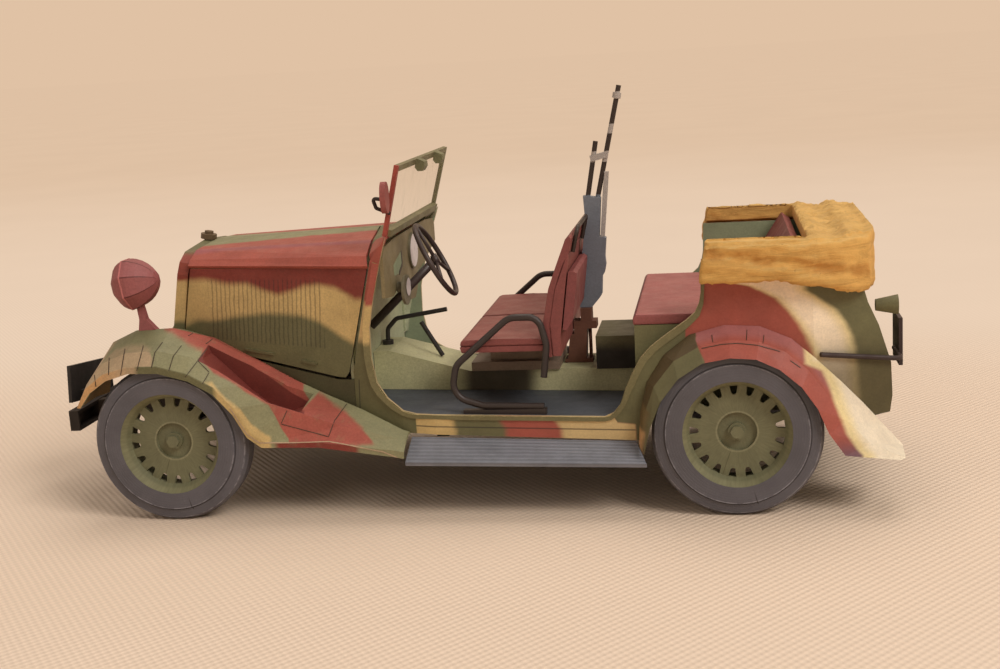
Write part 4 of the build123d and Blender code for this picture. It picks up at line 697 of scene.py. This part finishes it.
def loft(bm, rings, material=0):
    """Closed solid through rings of points."""
    loops = [[bm.verts.new(p) for p in ring] for ring in rings]
    faces = [bm.faces.new(loops[0]), bm.faces.new(loops[-1])]
    for a, b in zip(loops, loops[1:]):
        faces += [bm.faces.new((a[k - 1], a[k], b[k], b[k - 1])) for k in range(len(a))]
    for face in faces:
        face.material_index = material


def strip(bm, path, width, rise):
    """A thin closed strip along (place, normal) points; sizes in mm."""
    rings = []
    for i, (place, normal) in enumerate(path):
        ahead = path[min(i + 1, len(path) - 1)][0] - path[max(i - 1, 0)][0]
        side = ahead.cross(normal).normalized() * (width / 2 * MM)
        up, down = normal * (rise * MM), normal * (-STRIP_SINK * MM)
        rings.append([place + side + up, place - side + up, place - side + down, place + side + down])
    loft(bm, rings)


def traced(node, points, step):
    """Picture points joined on a node's surface, as (place, normal) points; the longest unbroken part."""
    path = []
    for (u0, v0), (u1, v1) in zip(points, points[1:]):
        parts = max(1, round(math.hypot(u1 - u0, v1 - v0) / step))
        path += [seen(node, u0 + (u1 - u0) * k / parts, v0 + (v1 - v0) * k / parts) for k in range(parts)]
    path.append(seen(node, *points[-1]))
    pieces = [[path[0]]]
    for place, normal in path[1:]:
        gap = (place - pieces[-1][-1][0]).length
        if gap > step * MM:
            pieces.append([(place, normal)])
        elif gap > 0.05 * MM:
            pieces[-1].append((place, normal))
    return max(pieces, key=len)


def ribbons(bm, node, points, width, rise=0.08, step=2.5):
    """A strip along picture points on a left or middle node, and its mirror image; step in pixels."""
    path = traced(node, points, step)
    if len(path) > 1:
        strip(bm, path, width, rise)
        strip(bm, [(Vector((p.x, -p.y, p.z)), Vector((n.x, -n.y, n.z))) for p, n in path], width, rise)


def prism(bm, outline, y0, y1, bevel):
    """Side outline of (station, height) points between two widths, with rounded edges."""
    before = set(bm.edges)
    loft(bm, [[row(x, y, z) for x, z in outline] for y in (y0, y1)])
    edges = [e for e in bm.edges if e not in before]
    bmesh.ops.bevel(bm, geom=edges, offset=bevel * MM, segments=2, profile=0.6, affect="EDGES",
                    clamp_overlap=True)


# fold and seam lines of the card sheets: picture points, by node and width
seam_dark = plain("seam_shadow", srgb(66, 54, 42), scuffs=0.1)
seam_pale = plain("seam_light", srgb(176, 150, 122), scuffs=0.1)
SEAMS = {
    (FRONT, 0.12): [
        [(94.6, 375), (96.3, 389)], [(162.4, 342.5), (154.8, 353), (151.6, 367.5)],
    ],
    (FRONT, 0.11): [
        [(109.3, 357.7), (108.7, 375)], [(125, 349), (120.7, 375)], [(143.4, 345.8), (136.9, 370.7)],
        [(181.4, 345.8), (173.2, 356.6), (168.9, 370.7)], [(206.8, 349), (199.3, 358.8), (185.2, 377.2)],
        [(209, 372.9), (202.5, 383.7)], [(198, 361), (209, 372)], [(194.9, 332), (188.4, 336)],
        [(214.4, 337.6), (206, 344)], [(287, 410.6), (281.4, 423.2)], [(281.4, 424), (327.7, 436.5)],
        [(346.6, 404.3), (334.7, 420.4), (328.4, 437.2)],
    ],
    (REAR, 0.11): [
        [(701.6, 348.5), (722, 344.4), (737.3, 343.4), (757.8, 345.4), (780, 351.5)],
        [(790.5, 360.8), (800.4, 367.7)],
    ],
    (REAR, 0.10): [
        [(711.8, 335.2), (712.9, 342.3)], [(747, 330.1), (746.5, 340.3)], [(763.9, 335.2), (762.9, 343.4)],
    ],
}
FLANGE_FOLD = [(230, 408), (246.6, 434), (259.3, 442.9), (289.9, 442.9), (329.5, 441.6), (383, 451.8),
               (402, 459.4)]

seams, folds = bmesh.new(), bmesh.new()
for (node, width), lines in SEAMS.items():
    for points in lines:
        ribbons(seams, node, points, width)
ribbons(folds, FRONT, FLANGE_FOLD, 0.16)
add_piece("fender_seams", seams, seam_dark, slot="card_dark")
add_piece("fender_folds", folds, seam_pale, slot="paint_olive")

# raised card lip round the door openings: narrower along the body's top and at the sill
LIP_WIDTH, LIP_GAP, LIP_RISE, LIP_SINK = 1.1, 0.02, 0.26, 0.08
LIP_EDGE = [
    (36.2, 41.0), (35.3, 37.4), (34.7, 35.4), (34.1, 32.8), (33.6, 30.4), (33.45, 28.0), (33.5, 25.5),
    (33.75, 23.4), (34.2, 21.4), (34.9, 20.0), (35.9, 18.9), (37.1, 17.8), (38.6, 16.9), (39.7, 16.55),
    (40.8, 16.4), (48.0, 16.19), (56.0, 15.95), (64.0, 15.72), (71.4, 15.5), (72.2, 15.7), (72.8, 16.1),
    (73.4, 16.7), (73.9, 17.4), (74.4, 18.6), (74.8, 19.9), (75.4, 21.2), (76.0, 22.5), (76.65, 23.7),
    (77.3, 24.8), (78.9, 26.5), (80.6, 27.8), (82.6, 29.1), (84.6, 30.5), (86.0, 31.7), (86.7, 33.2),
    (87.0, 34.8), (87.15, 36.4),
]
OUTSIDE_Y, LIP_SEARCH = 40, 30      # a search for the body's face starts this far out and goes this far in
lips = bmesh.new()
for side, side_name in SIDES.items():
    rings = []
    for i, (x, z) in enumerate(LIP_EDGE):
        back, ahead = LIP_EDGE[max(i - 1, 0)], LIP_EDGE[min(i + 1, len(LIP_EDGE) - 1)]
        dx, dz = ahead[0] - back[0], ahead[1] - back[1]
        size = math.hypot(dx, dz)
        width = LIP_WIDTH if z < 30 or x < 60 else LIP_WIDTH - 0.6 * min(1.0, (z - 30) / 5)
        width -= 0.4 * clamp((21 - z) / 4)
        near, far = ((x + reach * dz / size, z - reach * dx / size) for reach in (LIP_GAP, width))
        start = row((near[0] + far[0]) / 2, side * OUTSIDE_Y, (near[1] + far[1]) / 2)
        found = tree(f"body_side_{side_name}").ray_cast(start, Vector((0, -side, 0)), LIP_SEARCH * MM)[0]
        if found is not None:
            raised, sunk = found.y / MM + side * LIP_RISE, found.y / MM - side * LIP_SINK
            rings.append([row(near[0], sunk, near[1]), row(near[0], raised, near[1]),
                          row(far[0], raised, far[1]), row(far[0], sunk, far[1])])
    loft(lips, rings)


def lip_material():
    p = Paint("door_lip_card")
    flat = p.smooth(p.side_on, 0.5, 0.8)
    red = p.mul(p.smooth(p.z, 33.8, 34.6), p.fall(p.x, 45, 46))
    sand = p.mul(p.smooth(p.z, 27.2, 28.4), p.fall(p.x, 45, 46))
    outer = p.paint(srgb(112, 104, 70), (sand, SAND), (red, RED))
    # the cut edge is card coloured, painted a lighter gold as a highlight, with brighter painted glints
    edge_highlight = p.smooth(p.noise(1.3, 4, 0.8, offset=2.0), 0.52, 0.62)
    lit_cut_edge = p.paint(srgb(160, 138, 90), (p.mul(edge_highlight, 0.7), srgb(232, 214, 150)))
    return p.card(p.mix(flat, lit_cut_edge, outer), scuffs=0.3)


add_piece("door_lips", lips, lip_material(), slot="paint_olive")

# hood: shadow line under the top's ledge, two catches on each side, by picture points
LEDGE = [(190, 268.6), (260, 266.7), (330, 263.2), (352, 262.0)]
CATCHES = [[(245.7, 349), (274.4, 354)], [(303, 360.5), (317.4, 364)]]
ledge, catches = bmesh.new(), bmesh.new()
ribbons(ledge, "hood_sides", LEDGE, 0.22, step=12)
for points in CATCHES:
    ribbons(catches, "hood_sides", points, 0.42, rise=0.3, step=30)
add_piece("hood_ledge_line", ledge, seam_dark, slot="card_dark")
add_piece("hood_catches", catches, plain("catch_card", srgb(96, 92, 62)), slot="paint_olive")

# headlamps: eight card petals each, drawn together to a point behind, on a folded stalk
LAMP_PROFILE = [      # distance in front of the rim, radius
    (2.95, 0.25), (2.85, 1.2), (2.55, 2.2), (2.05, 3.05), (1.4, 3.75), (0.7, 4.2), (0.14, 4.42),
    (0.12, 4.5), (-0.12, 4.5), (-0.14, 4.43), (-0.7, 4.36), (-1.4, 4.15), (-2.4, 3.68), (-3.3, 3.05),
    (-4.1, 2.25), (-4.7, 1.45), (-4.98, 0.4),
]
PETALS, HALF_CREASE = 8, 1.6                   # the crease between two petals, in degrees
RIM_ROWS, FIRST_PETAL_ROW = range(6, 9), 9     # rows of faces along the profile
# height, front and rear station, half width
STALK = [(31.1, -6.75, -3.7, 0.85), (32.6, -6.55, -5.3, 0.6), (35.1, -6.9, -5.8, 0.5)]
LAMP_PLACES = ((-18.0, 38.6), (18.0, 36.0))    # the right lamp's stalk is shorter
LAMP_RIM_X, STALK_FOOT_Z, LAMP_TILT = -7.6, 31.1, math.radians(-8)
lamps = bmesh.new()
for side_name, (lamp_y, lamp_z) in zip(SIDES.values(), LAMP_PLACES):
    loops = []
    for forward, radius in LAMP_PROFILE:
        loops.append([])
        for petal in range(PETALS):
            for turn in (-HALF_CREASE, HALF_CREASE):
                angle = math.radians(22.5 + 45 * petal + turn)
                y, z = radius * math.sin(angle), radius * math.cos(angle)
                x = LAMP_RIM_X - forward * math.cos(LAMP_TILT) + z * math.sin(LAMP_TILT)
                z = lamp_z + forward * math.sin(LAMP_TILT) + z * math.cos(LAMP_TILT)
                loops[-1].append(lamps.verts.new(row(x, lamp_y + y, z)))
    lamps.faces.new(loops[0])
    lamps.faces.new(loops[-1])
    for i, (a, b) in enumerate(zip(loops, loops[1:])):
        for k in range(2 * PETALS):
            face = lamps.faces.new((a[k - 1], a[k], b[k], b[k - 1]))
            face.material_index = 1 if i in RIM_ROWS else 2 if k % 2 and i >= FIRST_PETAL_ROW else 0
    scale = (lamp_z - STALK_FOOT_Z) / (LAMP_PLACES[0][1] - STALK_FOOT_Z)
    rings = []
    for z, x_front, x_rear, half in STALK:
        z = STALK_FOOT_Z + (z - STALK_FOOT_Z) * scale
        rings.append([row(x_front, lamp_y - half, z), row(x_front, lamp_y + half, z),
                      row(x_rear, lamp_y + half, z), row(x_rear, lamp_y - half, z)])
    for corner in rings[0]:
        above = corner + Vector((0, 0, 2 * MM))
        landing = tree(f"front_fender_{side_name}").ray_cast(above, Vector((0, 0, -1)), 6 * MM)[0]
        if landing is not None:
            corner.z = landing.z + 0.02 * MM
    loft(lamps, rings)
add_piece("headlamp_petals", lamps, plain("lamp_card", srgb(142, 80, 78)),
          plain("lamp_rim_card", srgb(182, 108, 104)), plain("lamp_crease", srgb(92, 42, 40)),
          stands_for=("headlamps",), slot="paint_red")

# dashboard with its gauges and shield-shaped opening, placed by the picture on the dashboard's own plane
DASH_FACE, DASH_CARD = 36.8, 0.6
dash_top = station(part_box("dashboard")[1])
edge_y, top_z = dash_top.y, dash_top.z
# pixels: the dashboard's uneven lower edge from the right, the opening's corners, the gauges' centres
LOWER_EDGE = [(424, 262), (417, 272), (418, 286), (416, 297), (412, 299), (405, 293), (400, 284), (394, 296),
              (388, 298)]
OPENING_CORNERS = [(400.8, 250.9), (402.0, 264.1), (399.0, 273.3), (394.5, 275.8), (393.3, 265.3)]
RING_CENTRE, STEM_CENTRE = (413.9, 250.0), (408.4, 286.6)
DASH_OUTLINE = [(-edge_y, 42.0), (-edge_y + 1.4, 43.3), (-13.0, top_z), (13.0, top_z), (edge_y - 1.4, 43.3),
                (edge_y, 42.0), (edge_y, 39.0), *(on_plane(u, v, DASH_FACE) for u, v in LOWER_EDGE)]
DASH_OUTLINE += [(-edge_y, DASH_OUTLINE[-1][1] + 0.2)]
OPENING = [on_plane(u, v, DASH_FACE) for u, v in OPENING_CORNERS]
# half width, half height, how far it stands out, what it stands on
GAUGES = [(RING_CENTRE, 3.0, 2.9, 0.35, "ring"), (STEM_CENTRE, 1.7, 1.5, 1.8, "stem")]


def oval(bm, centre, half_y, half_z, x0, x1, material=0, sides=28):
    """An elliptical disc between two distances behind the dashboard's face."""
    turns = [2 * math.pi * k / sides for k in range(sides)]
    rim = [(centre[0] + half_y * math.cos(t), centre[1] + half_z * math.sin(t)) for t in turns]
    loft(bm, [[row(DASH_FACE + x, y, z) for y, z in rim] for x in (x0, x1)], material)


dash, opening, gauges = bmesh.new(), bmesh.new(), bmesh.new()
loft(dash, [[row(x, y, z) for y, z in DASH_OUTLINE] for x in (DASH_FACE - DASH_CARD, DASH_FACE)])
loft(opening, [[row(x, y, z) for y, z in OPENING] for x in (DASH_FACE - 0.1, DASH_FACE + 0.04)])
for (y0, z0), (y1, z1) in zip(OPENING, OPENING[1:3]):      # a dark line along the opening's side
    across = Vector((0, z1 - z0, y0 - y1)).normalized() * 0.3 * MM
    corners = [row(DASH_FACE, y, z) + sign * across
               for y, z, sign in ((y0, z0, 1), (y1, z1, 1), (y1, z1, -1), (y0, z0, -1))]
    loft(opening, [[p + Vector((dx * MM, 0, 0)) for p in corners] for dx in (-0.1, 0.09)], 1)
for (u, v), half_y, half_z, out, foot in GAUGES:
    y, z = centre = on_plane(u, v, DASH_FACE + out)
    if foot == "stem":
        oval(gauges, centre, 0.9, 0.9, -0.05, out - 0.4)
        oval(gauges, (y - 0.5, z - 0.4), half_y + 1.2, half_z + 1.0, out - 0.5, out - 0.05)
    else:
        oval(gauges, centre, half_y + 0.3, half_z + 0.25, -0.05, out)
    oval(gauges, centre, half_y, half_z, out - 0.1, out + 0.06, material=1)
add_piece("dash_panel", dash, plain("dash_card", srgb(126, 112, 80)),
          stands_for=("dashboard",), slot="card_inner")
add_piece("dash_opening", opening, plain("dash_opening_card", srgb(140, 150, 118)), seam_dark,
          slot="card_inner")
add_piece("dash_gauges", gauges, plain("gauge_rim", srgb(112, 104, 82)), gauge_material(),
          stands_for=("instruments",), slot="card_inner")

# steering wheel glued on a little askew, its column steeper than the wheel's own axis
HUB, COLUMN_FOOT = row(43.1, -10.0, 39.7), row(31.2, -10.0, 28.7)
RIM_RADIUS, RIM_WIRE, SPOKE_WIRE, HUB_RADIUS, COLUMN_RADIUS = 6.5, 0.45, 0.32, 0.95, 0.72
WHEEL_TURN, WHEEL_RISE = math.radians(5.0), math.radians(27.5)
facing = Matrix.Rotation(WHEEL_TURN, 3, "Z") @ Vector((math.cos(WHEEL_RISE), 0, math.sin(WHEEL_RISE)))
level = facing.cross(Vector((0, 0, 1))).normalized()
upward = level.cross(facing)


def tube(bm, places, radius, sides=12, closed=False):
    """Round wire along places in metres."""
    rings, last = [], len(places) - 1
    for i, place in enumerate(places):
        back = places[i - 1] if i or closed else place
        ahead = places[(i + 1) % len(places)] if i < last or closed else place
        along = (ahead - back).normalized()
        one = along.cross(facing if abs(along.dot(facing)) < 0.9 else level).normalized()
        two = along.cross(one)
        turns = (2 * math.pi * k / sides for k in range(sides))
        rings.append([place + (one * math.cos(t) + two * math.sin(t)) * radius * MM for t in turns])
    if not closed:
        loft(bm, rings)
        return
    loops = [[bm.verts.new(p) for p in ring] for ring in rings]
    for i, loop in enumerate(loops):
        before = loops[i - 1]
        for k in range(sides):
            bm.faces.new((before[k - 1], before[k], loop[k], loop[k - 1]))


def on_wheel(radius, angle):
    return HUB + (level * math.cos(angle) + upward * math.sin(angle)) * radius * MM


wheel = bmesh.new()
tube(wheel, [on_wheel(RIM_RADIUS, 2 * math.pi * k / 48) for k in range(48)], RIM_WIRE, closed=True)
for degrees in (90, 210, 330):
    tube(wheel, [on_wheel(r, math.radians(degrees)) for r in (0.4, 3.4, RIM_RADIUS)], SPOKE_WIRE)
tube(wheel, [HUB - facing * 0.5 * MM, HUB + facing * 0.5 * MM], HUB_RADIUS)
tube(wheel, [HUB - facing * 0.2 * MM, COLUMN_FOOT], COLUMN_RADIUS)
add_piece("steering_wheel_wire", wheel, black_wire("steering_black", srgb(58, 46, 44)),
          stands_for=("steering_wheel",), smooth=True, slot="wire")

# card strips that close the slit between the bulkhead and the slanted front edge of the body sides
BULKHEAD_HEIGHTS, EDGE_STEP, EDGE_STEPS = (22, 26, 30, 34, 37), 0.2, 24
bulkhead_edge = station(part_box("bulkhead")[1])
strips = bmesh.new()
for side, side_name in SIDES.items():
    body_side, inner, rings = tree(f"body_side_{side_name}"), side * (bulkhead_edge.y - 0.6), []
    for z in BULKHEAD_HEIGHTS:
        for step in range(EDGE_STEPS):      # backwards until a search outwards meets the body side
            edge_x = bulkhead_edge.x + EDGE_STEP * step
            found = body_side.ray_cast(row(edge_x, inner, z), Vector((0, side, 0)), 6 * MM)[0]
            if found is not None:
                outer = found.y / MM + side * 0.1
                corners = ((bulkhead_edge.x, inner), (bulkhead_edge.x + 0.4, inner),
                           (edge_x + 0.5, outer), (edge_x + 0.1, outer))
                rings.append([row(x, y, z) for x, y in corners])
                break
    loft(strips, rings)
add_piece("bulkhead_edge_strips", strips, plain("bulkhead_strip_card", srgb(180, 182, 146)),
          slot="card_inner")

# windshield: thin card bars, clear film and two wiper boxes
SHIELD_FOOT, SHIELD_HEAD = Vector((37.0, 0, 45.15)), Vector((40.0, 0, 56.45))
BAR_WIDTH, BAR_DEPTH, FOOT_BAR, HEAD_BAR, HALF_FILM = 0.95, 0.7, 1.1, 0.95, 0.05
HALF_FOOT, HALF_HEAD = 20.1, station(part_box("windshield_frame")[1]).y - 0.2
WIPER_PLACES, HALF_WIPER_BOX = (-5.4, 10.2), 1.3
# distance behind the film, distance up
WIPER_OUTLINE = [(0.28, 10.2), (0.9, 9.7), (1.7, 9.9), (1.95, 10.7), (1.7, 11.5), (0.28, 11.75)]
rise = SHIELD_HEAD - SHIELD_FOOT
shield_height = rise.length
rise.normalize()
thick = Vector((rise.z, 0, -rise.x))
head_low = shield_height - HEAD_BAR


def on_shield(y, up, out):
    """A point of the leaning windshield: lateral place, distance up its plane, distance behind it; mm."""
    return row(SHIELD_FOOT.x, y, SHIELD_FOOT.z) + (rise * up + thick * out) * MM


def on_edge(side, up, inset):
    """(lateral place, distance up) of a point inside the windshield's edge, which leans inwards."""
    return side * (HALF_FOOT + (HALF_HEAD - HALF_FOOT) * up / shield_height - inset), up


def shield_plate(bm, corners, ahead, behind, material=0):
    loft(bm, [[on_shield(y, up, out) for y, up in corners] for out in (-ahead, behind)], material)


def across_shield(low, high):
    return [on_edge(side, up, BAR_WIDTH) for side, up in ((-1, low), (1, low), (1, high), (-1, high))]


bars, film, boxes = bmesh.new(), bmesh.new(), bmesh.new()
for side, material in ((-1, 1), (1, 0)):      # the left post is printed red
    post = [on_edge(side, up, inset) for up, inset in ((0, BAR_WIDTH), (0, 0), (shield_height, 0),
                                                       (shield_height, BAR_WIDTH))]
    shield_plate(bars, post, BAR_DEPTH / 2, BAR_DEPTH / 2, material)
for low, high, back in ((0, FOOT_BAR, 0.5), (head_low, shield_height, 0.0)):
    shield_plate(bars, across_shield(low, high), BAR_DEPTH / 2, BAR_DEPTH / 2 + back)
shield_plate(film, across_shield(FOOT_BAR, head_low), HALF_FILM, HALF_FILM)
for y in WIPER_PLACES:
    loft(boxes, [[on_shield(end, up, out) for out, up in WIPER_OUTLINE]
                 for end in (y - HALF_WIPER_BOX, y + HALF_WIPER_BOX)])
add_piece("windshield_bars", bars, plain("windshield_card", srgb(116, 108, 76)),
          plain("windshield_post_card", srgb(150, 66, 54), scuffs=0.35),
          stands_for=("windshield_frame",), slot="paint_olive")
add_piece("windshield_film", film, glass_material(), stands_for=("windshield_glass",), slot="windscreen")
add_piece("wiper_box_cards", boxes, plain("wiper_card", srgb(112, 108, 76)),
          stands_for=("wiper_boxes",), slot="paint_olive")

# front seats: two slabs with a dark slit between them in each cushion, and in each back
SEAT_INNER, SEAT_OUTER = 0.4, 21.1
CUSHION_SLABS = [      # side outline, inset at the middle, inset at the outer side, rounding
    ([(48.55, 25.9), (48.3, 26.85), (61.95, 26.85), (62.1, 25.9)], 0, 0, 0.15),
    ([(49.2, 26.7), (49.2, 27.1), (61.4, 27.1), (61.4, 26.7)], 0.5, 0.35, 0.03),
    ([(48.35, 27.0), (48.5, 27.75), (49.2, 28.0), (55.0, 28.1), (61.0, 28.0), (61.7, 27.7), (61.9, 27.0)],
     0, 0, 0.22),
]
BACK_SLABS = [
    ([(62.35, 24.8), (62.0, 30.3), (63.15, 35.9), (64.6, 39.7), (65.7, 42.4), (66.2, 43.7), (66.9, 44.2),
      (67.2, 43.8), (66.85, 41.9), (65.4, 39.3), (64.05, 35.9), (62.95, 30.3), (63.25, 24.9)], 0, 0, 0.12),
    ([(63.1, 25.2), (62.85, 30.3), (63.95, 35.9), (65.3, 39.4), (66.1, 41.0), (66.3, 41.0), (66.3, 39.5),
      (65.0, 35.5), (64.4, 30.0), (64.3, 25.2)], 0.35, 0.3, 0.03),
    ([(63.4, 25.0), (63.12, 30.3), (64.22, 35.9), (65.6, 39.2), (66.35, 41.3), (66.6, 41.3), (64.66, 27.8),
      (64.7, 25.0)], 0, 0, 0.1),
]
cushions, backs = bmesh.new(), bmesh.new()
for side in SIDES:
    for seat_mesh, slabs in ((cushions, CUSHION_SLABS), (backs, BACK_SLABS)):
        for outline, inner, outer, rounding in slabs:
            prism(seat_mesh, outline, side * (SEAT_INNER + inner), side * (SEAT_OUTER - outer), rounding)
add_piece("cushion_slabs", cushions, seat_material("cushion_card"),
          stands_for=("front_cushions",), slot="card_seat")
add_piece("seat_back_slabs", backs, seat_material("seat_back_card"),
          stands_for=("front_seat_backs",), slot="card_seat")

rear_cushion = bmesh.new()
low, high = (station(corner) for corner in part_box("rear_cushion"))
outline = [(low.x, low.z), (low.x, high.z - 0.5), (low.x + 0.5, high.z), (high.x, high.z), (high.x, low.z)]
prism(rear_cushion, outline, low.y, high.y, 0.45)
add_piece("rear_cushion_card", rear_cushion, seat_material("rear_cushion_print", srgb(158, 92, 86)),
          stands_for=("rear_cushion",), slot="card_seat")

# ---- folded canvas ----
VOXEL = 0.42
REAR_BUNDLE, REAR_ROUNDING, FRONT_EDGE = 101.5, 107.0, 89.5      # stations where the canvas changes its form
SIDE_SEAM_Z, DEEPEST, HIGHEST = 42.9, -0.8, 0.55                 # limits of a move along the normal
canvas_mesh = NODES["folded_canvas"].data.copy()
canvas_mesh.materials.clear()
canvas = new_object("canvas_top", canvas_mesh)
remesh = canvas.modifiers.new("remesh", "REMESH")
remesh.mode, remesh.voxel_size = "VOXEL", VOXEL * MM
shaped = bpy.data.meshes.new_from_object(canvas.evaluated_get(bpy.context.evaluated_depsgraph_get()))
canvas.modifiers.clear()
canvas.data = shaped


def ramp(points, value):
    """Height of a line of (station, height) points."""
    for (a, b), (c, d) in zip(points, points[1:]):
        if value <= c:
            return b + (d - b) * max(0.0, (value - a) / (c - a))
    return points[-1][1]


def rumple(x, y, z, octaves=4):
    """Rough noise of about -1 to 1."""
    return noise.fractal(Vector((x, y, z)), 0.9, 2.1, octaves)


def ridged(x, y, z):
    """Noise with sharp ridges, up to 1."""
    return 1 - 2 * abs(noise.noise(Vector((x, y, z))))


smoothed = bmesh.new()
smoothed.from_mesh(canvas.data)
for _ in range(2):
    bmesh.ops.smooth_vert(smoothed, verts=smoothed.verts, factor=0.5,
                          use_axis_x=True, use_axis_y=True, use_axis_z=True)
smoothed.normal_update()
moves = []
# Places are station mm, and a factor on a place inside a noise is in cycles per mm. side, rear, top, under,
# bundle and edge_in say where on the canvas a point is, 0 to 1; out is its move along its normal, in mm.
for vert in smoothed.verts:
    p, n = station(vert.co), vert.normal
    outward = n.y * (1 if p.y > 0 else -1)
    side = clamp((outward - 0.2) / 0.5) if abs(p.y) > 20 else 0.0
    rear = clamp((n.x - 0.2) / 0.5) if p.x > 105 else 0.0
    top = clamp((n.z - 0.3) / 0.5)
    under = clamp((-n.z - 0.2) / 0.5)
    # long folds along the sides, with one deep crease
    sway = 0.9 * noise.noise(Vector((p.x * 0.11, 3.0, 0)))
    long_fold = ridged(p.x * 0.10 + 5, p.y * 0.08, (p.z + sway) * 0.55)
    fine_fold = ridged(p.x * 0.22, p.y * 0.2 + 7, (p.z + sway) * 1.3)
    main = p.z - ramp(CREASE, p.x) - sway
    groove = -0.55 * math.exp(-(main / 0.8) ** 2) + 0.35 * math.exp(-((main + 1.9) / 0.8) ** 2)
    crumple = rumple(p.x * 0.5, p.y * 0.5, p.z * 0.9, 5)
    out = (0.30 * long_fold + 0.24 * fine_fold + groove + 0.24 * crumple) * side - 0.05
    if p.x > REAR_ROUNDING:      # fewer folds round the rear corners
        calm = min(1.0, (p.x - REAR_ROUNDING) / 4)
        out = (1 - calm) * out + calm * (0.35 + 0.12 * long_fold + 0.10 * crumple) * max(side, rear)
    out -= 0.45 * side * max(0.0, 1 - abs(p.z - SIDE_SEAM_Z) / 0.8)
    inner_side = 1.0 if outward < -0.2 and abs(p.y) < 23 else 0.0
    out -= 0.12 * inner_side * (1 + crumple)
    move = n * max(DEEPEST, min(HIGHEST, out))
    # smooth in front, rough and wavy in the bundle
    bundle = clamp((p.x - REAR_BUNDLE) / 1.5)
    smooth_top = -0.55 + 0.16 * rumple(p.x * 0.35, p.y * 0.35, 0)
    rough = rumple(p.x * 0.9, p.y * 0.9, 4.0, 6)
    waves = 0.35 * math.sin((p.x - 103.0) * 1.15 + 0.6 * noise.noise(Vector((p.y * 0.2, 0, 0))))
    rough_top = -0.45 + waves + 0.45 * rough + 0.4 * max(0.0, (p.x - 108) / 5)
    edge_in = clamp((24.0 - abs(p.y)) / 1.5)
    move.z += top * ((1 - bundle) * smooth_top + bundle * (smooth_top + (rough_top - smooth_top) * edge_in))
    move.z += under * 0.35 * rumple(p.x * 0.45, p.y * 0.3, 9.0) * (1.0 if p.z < 37.8 else 0.0)
    if p.x < FRONT_EDGE:      # the front edge leans back
        move.x += (FRONT_EDGE - p.x) / 2.7 * (0.2 * crumple + max(0.0, (p.z - 37.0) / 6.3) * 1.2)
    moves.append((vert, move * MM))
for vert, move in moves:
    vert.co += move
smoothed.to_mesh(canvas.data)
smoothed.free()
canvas.data.materials.append(canvas_material())
canvas.data.shade_smooth()
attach(canvas, "chassis")
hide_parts("folded_canvas")


# ---- floor, light, world ----
GROUND, NEAR_GROUND, BACKDROP = srgb(233, 208, 184), srgb(235, 208, 182), srgb(224, 194, 165)
FILL_LIGHT, LAMP_LIGHT, FRONT_LIGHT = (1.0, 0.89, 0.79), (1.0, 0.97, 0.93), (1.0, 0.96, 0.91)
LAMP_TARGET = Vector((0, 0, 0.02))


def camera_rays(tree):
    """1 for the rays that see a backdrop plainly: camera, glossy and transmission rays."""
    rays = new_node(tree, "LightPath").outputs
    seen_plainly = new_node(tree, "Math", (rays["Is Camera Ray"], rays["Is Glossy Ray"]), operation="MAXIMUM")
    return new_node(tree, "Math", (seen_plainly, rays["Is Transmission Ray"]), operation="MAXIMUM").outputs[0]


def ground_material():
    """Woven pale mat: lit near the object, an even backdrop tone further out."""
    p = Paint("ground_mat")
    dx = p.mul(p.sub(p.x, -SHIFT), 0.62)      # the lit patch is longer than it is wide
    reach = p.math("SQRT", p.add(p.mul(dx, dx), p.mul(p.y, p.y)))
    across = p.add(p.y, p.mul(p.x, 0.06))
    threads = [p.math("SINE", p.mul(value, 2 * math.pi / pitch))
               for value, pitch in ((p.x, 1.35), (across, 1.7))]
    weave = p.mul(*threads, p.fall(reach, 90, 420))
    shade = p.mul(p.smooth(weave, -1, 1, 0.935, 1.04), p.smooth(p.noise(0.012, 3), 0.2, 0.8, 0.985, 1.015))
    lit = p.surface(p.tint(GROUND, shade), 0.9, weave, 0.2, 0.5)
    tone = p.mix(p.smooth(reach, 150, 900), NEAR_GROUND, BACKDROP)
    even = p.new("Emission", {"Color": p.tint(tone, shade)})
    fade = p.mul(p.smooth(reach, 65, 150), camera_rays(p.t))
    return p.show(p.new("MixShader", (fade, lit, even)))


FAR_EDGE = 25
ground_mesh = bpy.data.meshes.new("ground")
corners = [(x * FAR_EDGE, y * FAR_EDGE, 0) for x, y in ((-1, -1), (1, -1), (1, 1), (-1, 1))]
ground_mesh.from_pydata(corners, [], [(0, 1, 2, 3)])
ground = new_object("ground", ground_mesh)
ground.data.materials.append(ground_material())

world = bpy.data.worlds.new("studio")
bpy.context.scene.world = world
world.use_nodes = True
world_tree = world.node_tree
world_tree.nodes.clear()
light_or_backdrop = (camera_rays(world_tree), new_node(world_tree, "Background", (FILL_LIGHT, 0.35)),
                     new_node(world_tree, "Background", (BACKDROP, 1.0)))
new_node(world_tree, "OutputWorld", (new_node(world_tree, "MixShader", light_or_backdrop),))


def lamp(name, place, size, power, color):
    """Square area lamp that looks at the object."""
    data = bpy.data.lights.new(name, "AREA")
    data.size, data.energy, data.color = size, power, color
    light = new_object(name, data)
    light.location = place
    light.rotation_euler = (LAMP_TARGET - Vector(place)).to_track_quat("-Z", "Y").to_euler()


lamp("key", (0.76, -0.60, 0.86), 0.5, 8.5, LAMP_LIGHT)
lamp("top", (0.10, 0.30, 1.10), 0.8, 4.6, LAMP_LIGHT)
lamp("front", (-0.80, -0.45, 0.55), 0.6, 0.9, FRONT_LIGHT)

bpy.context.scene.view_settings.view_transform = "Standard"
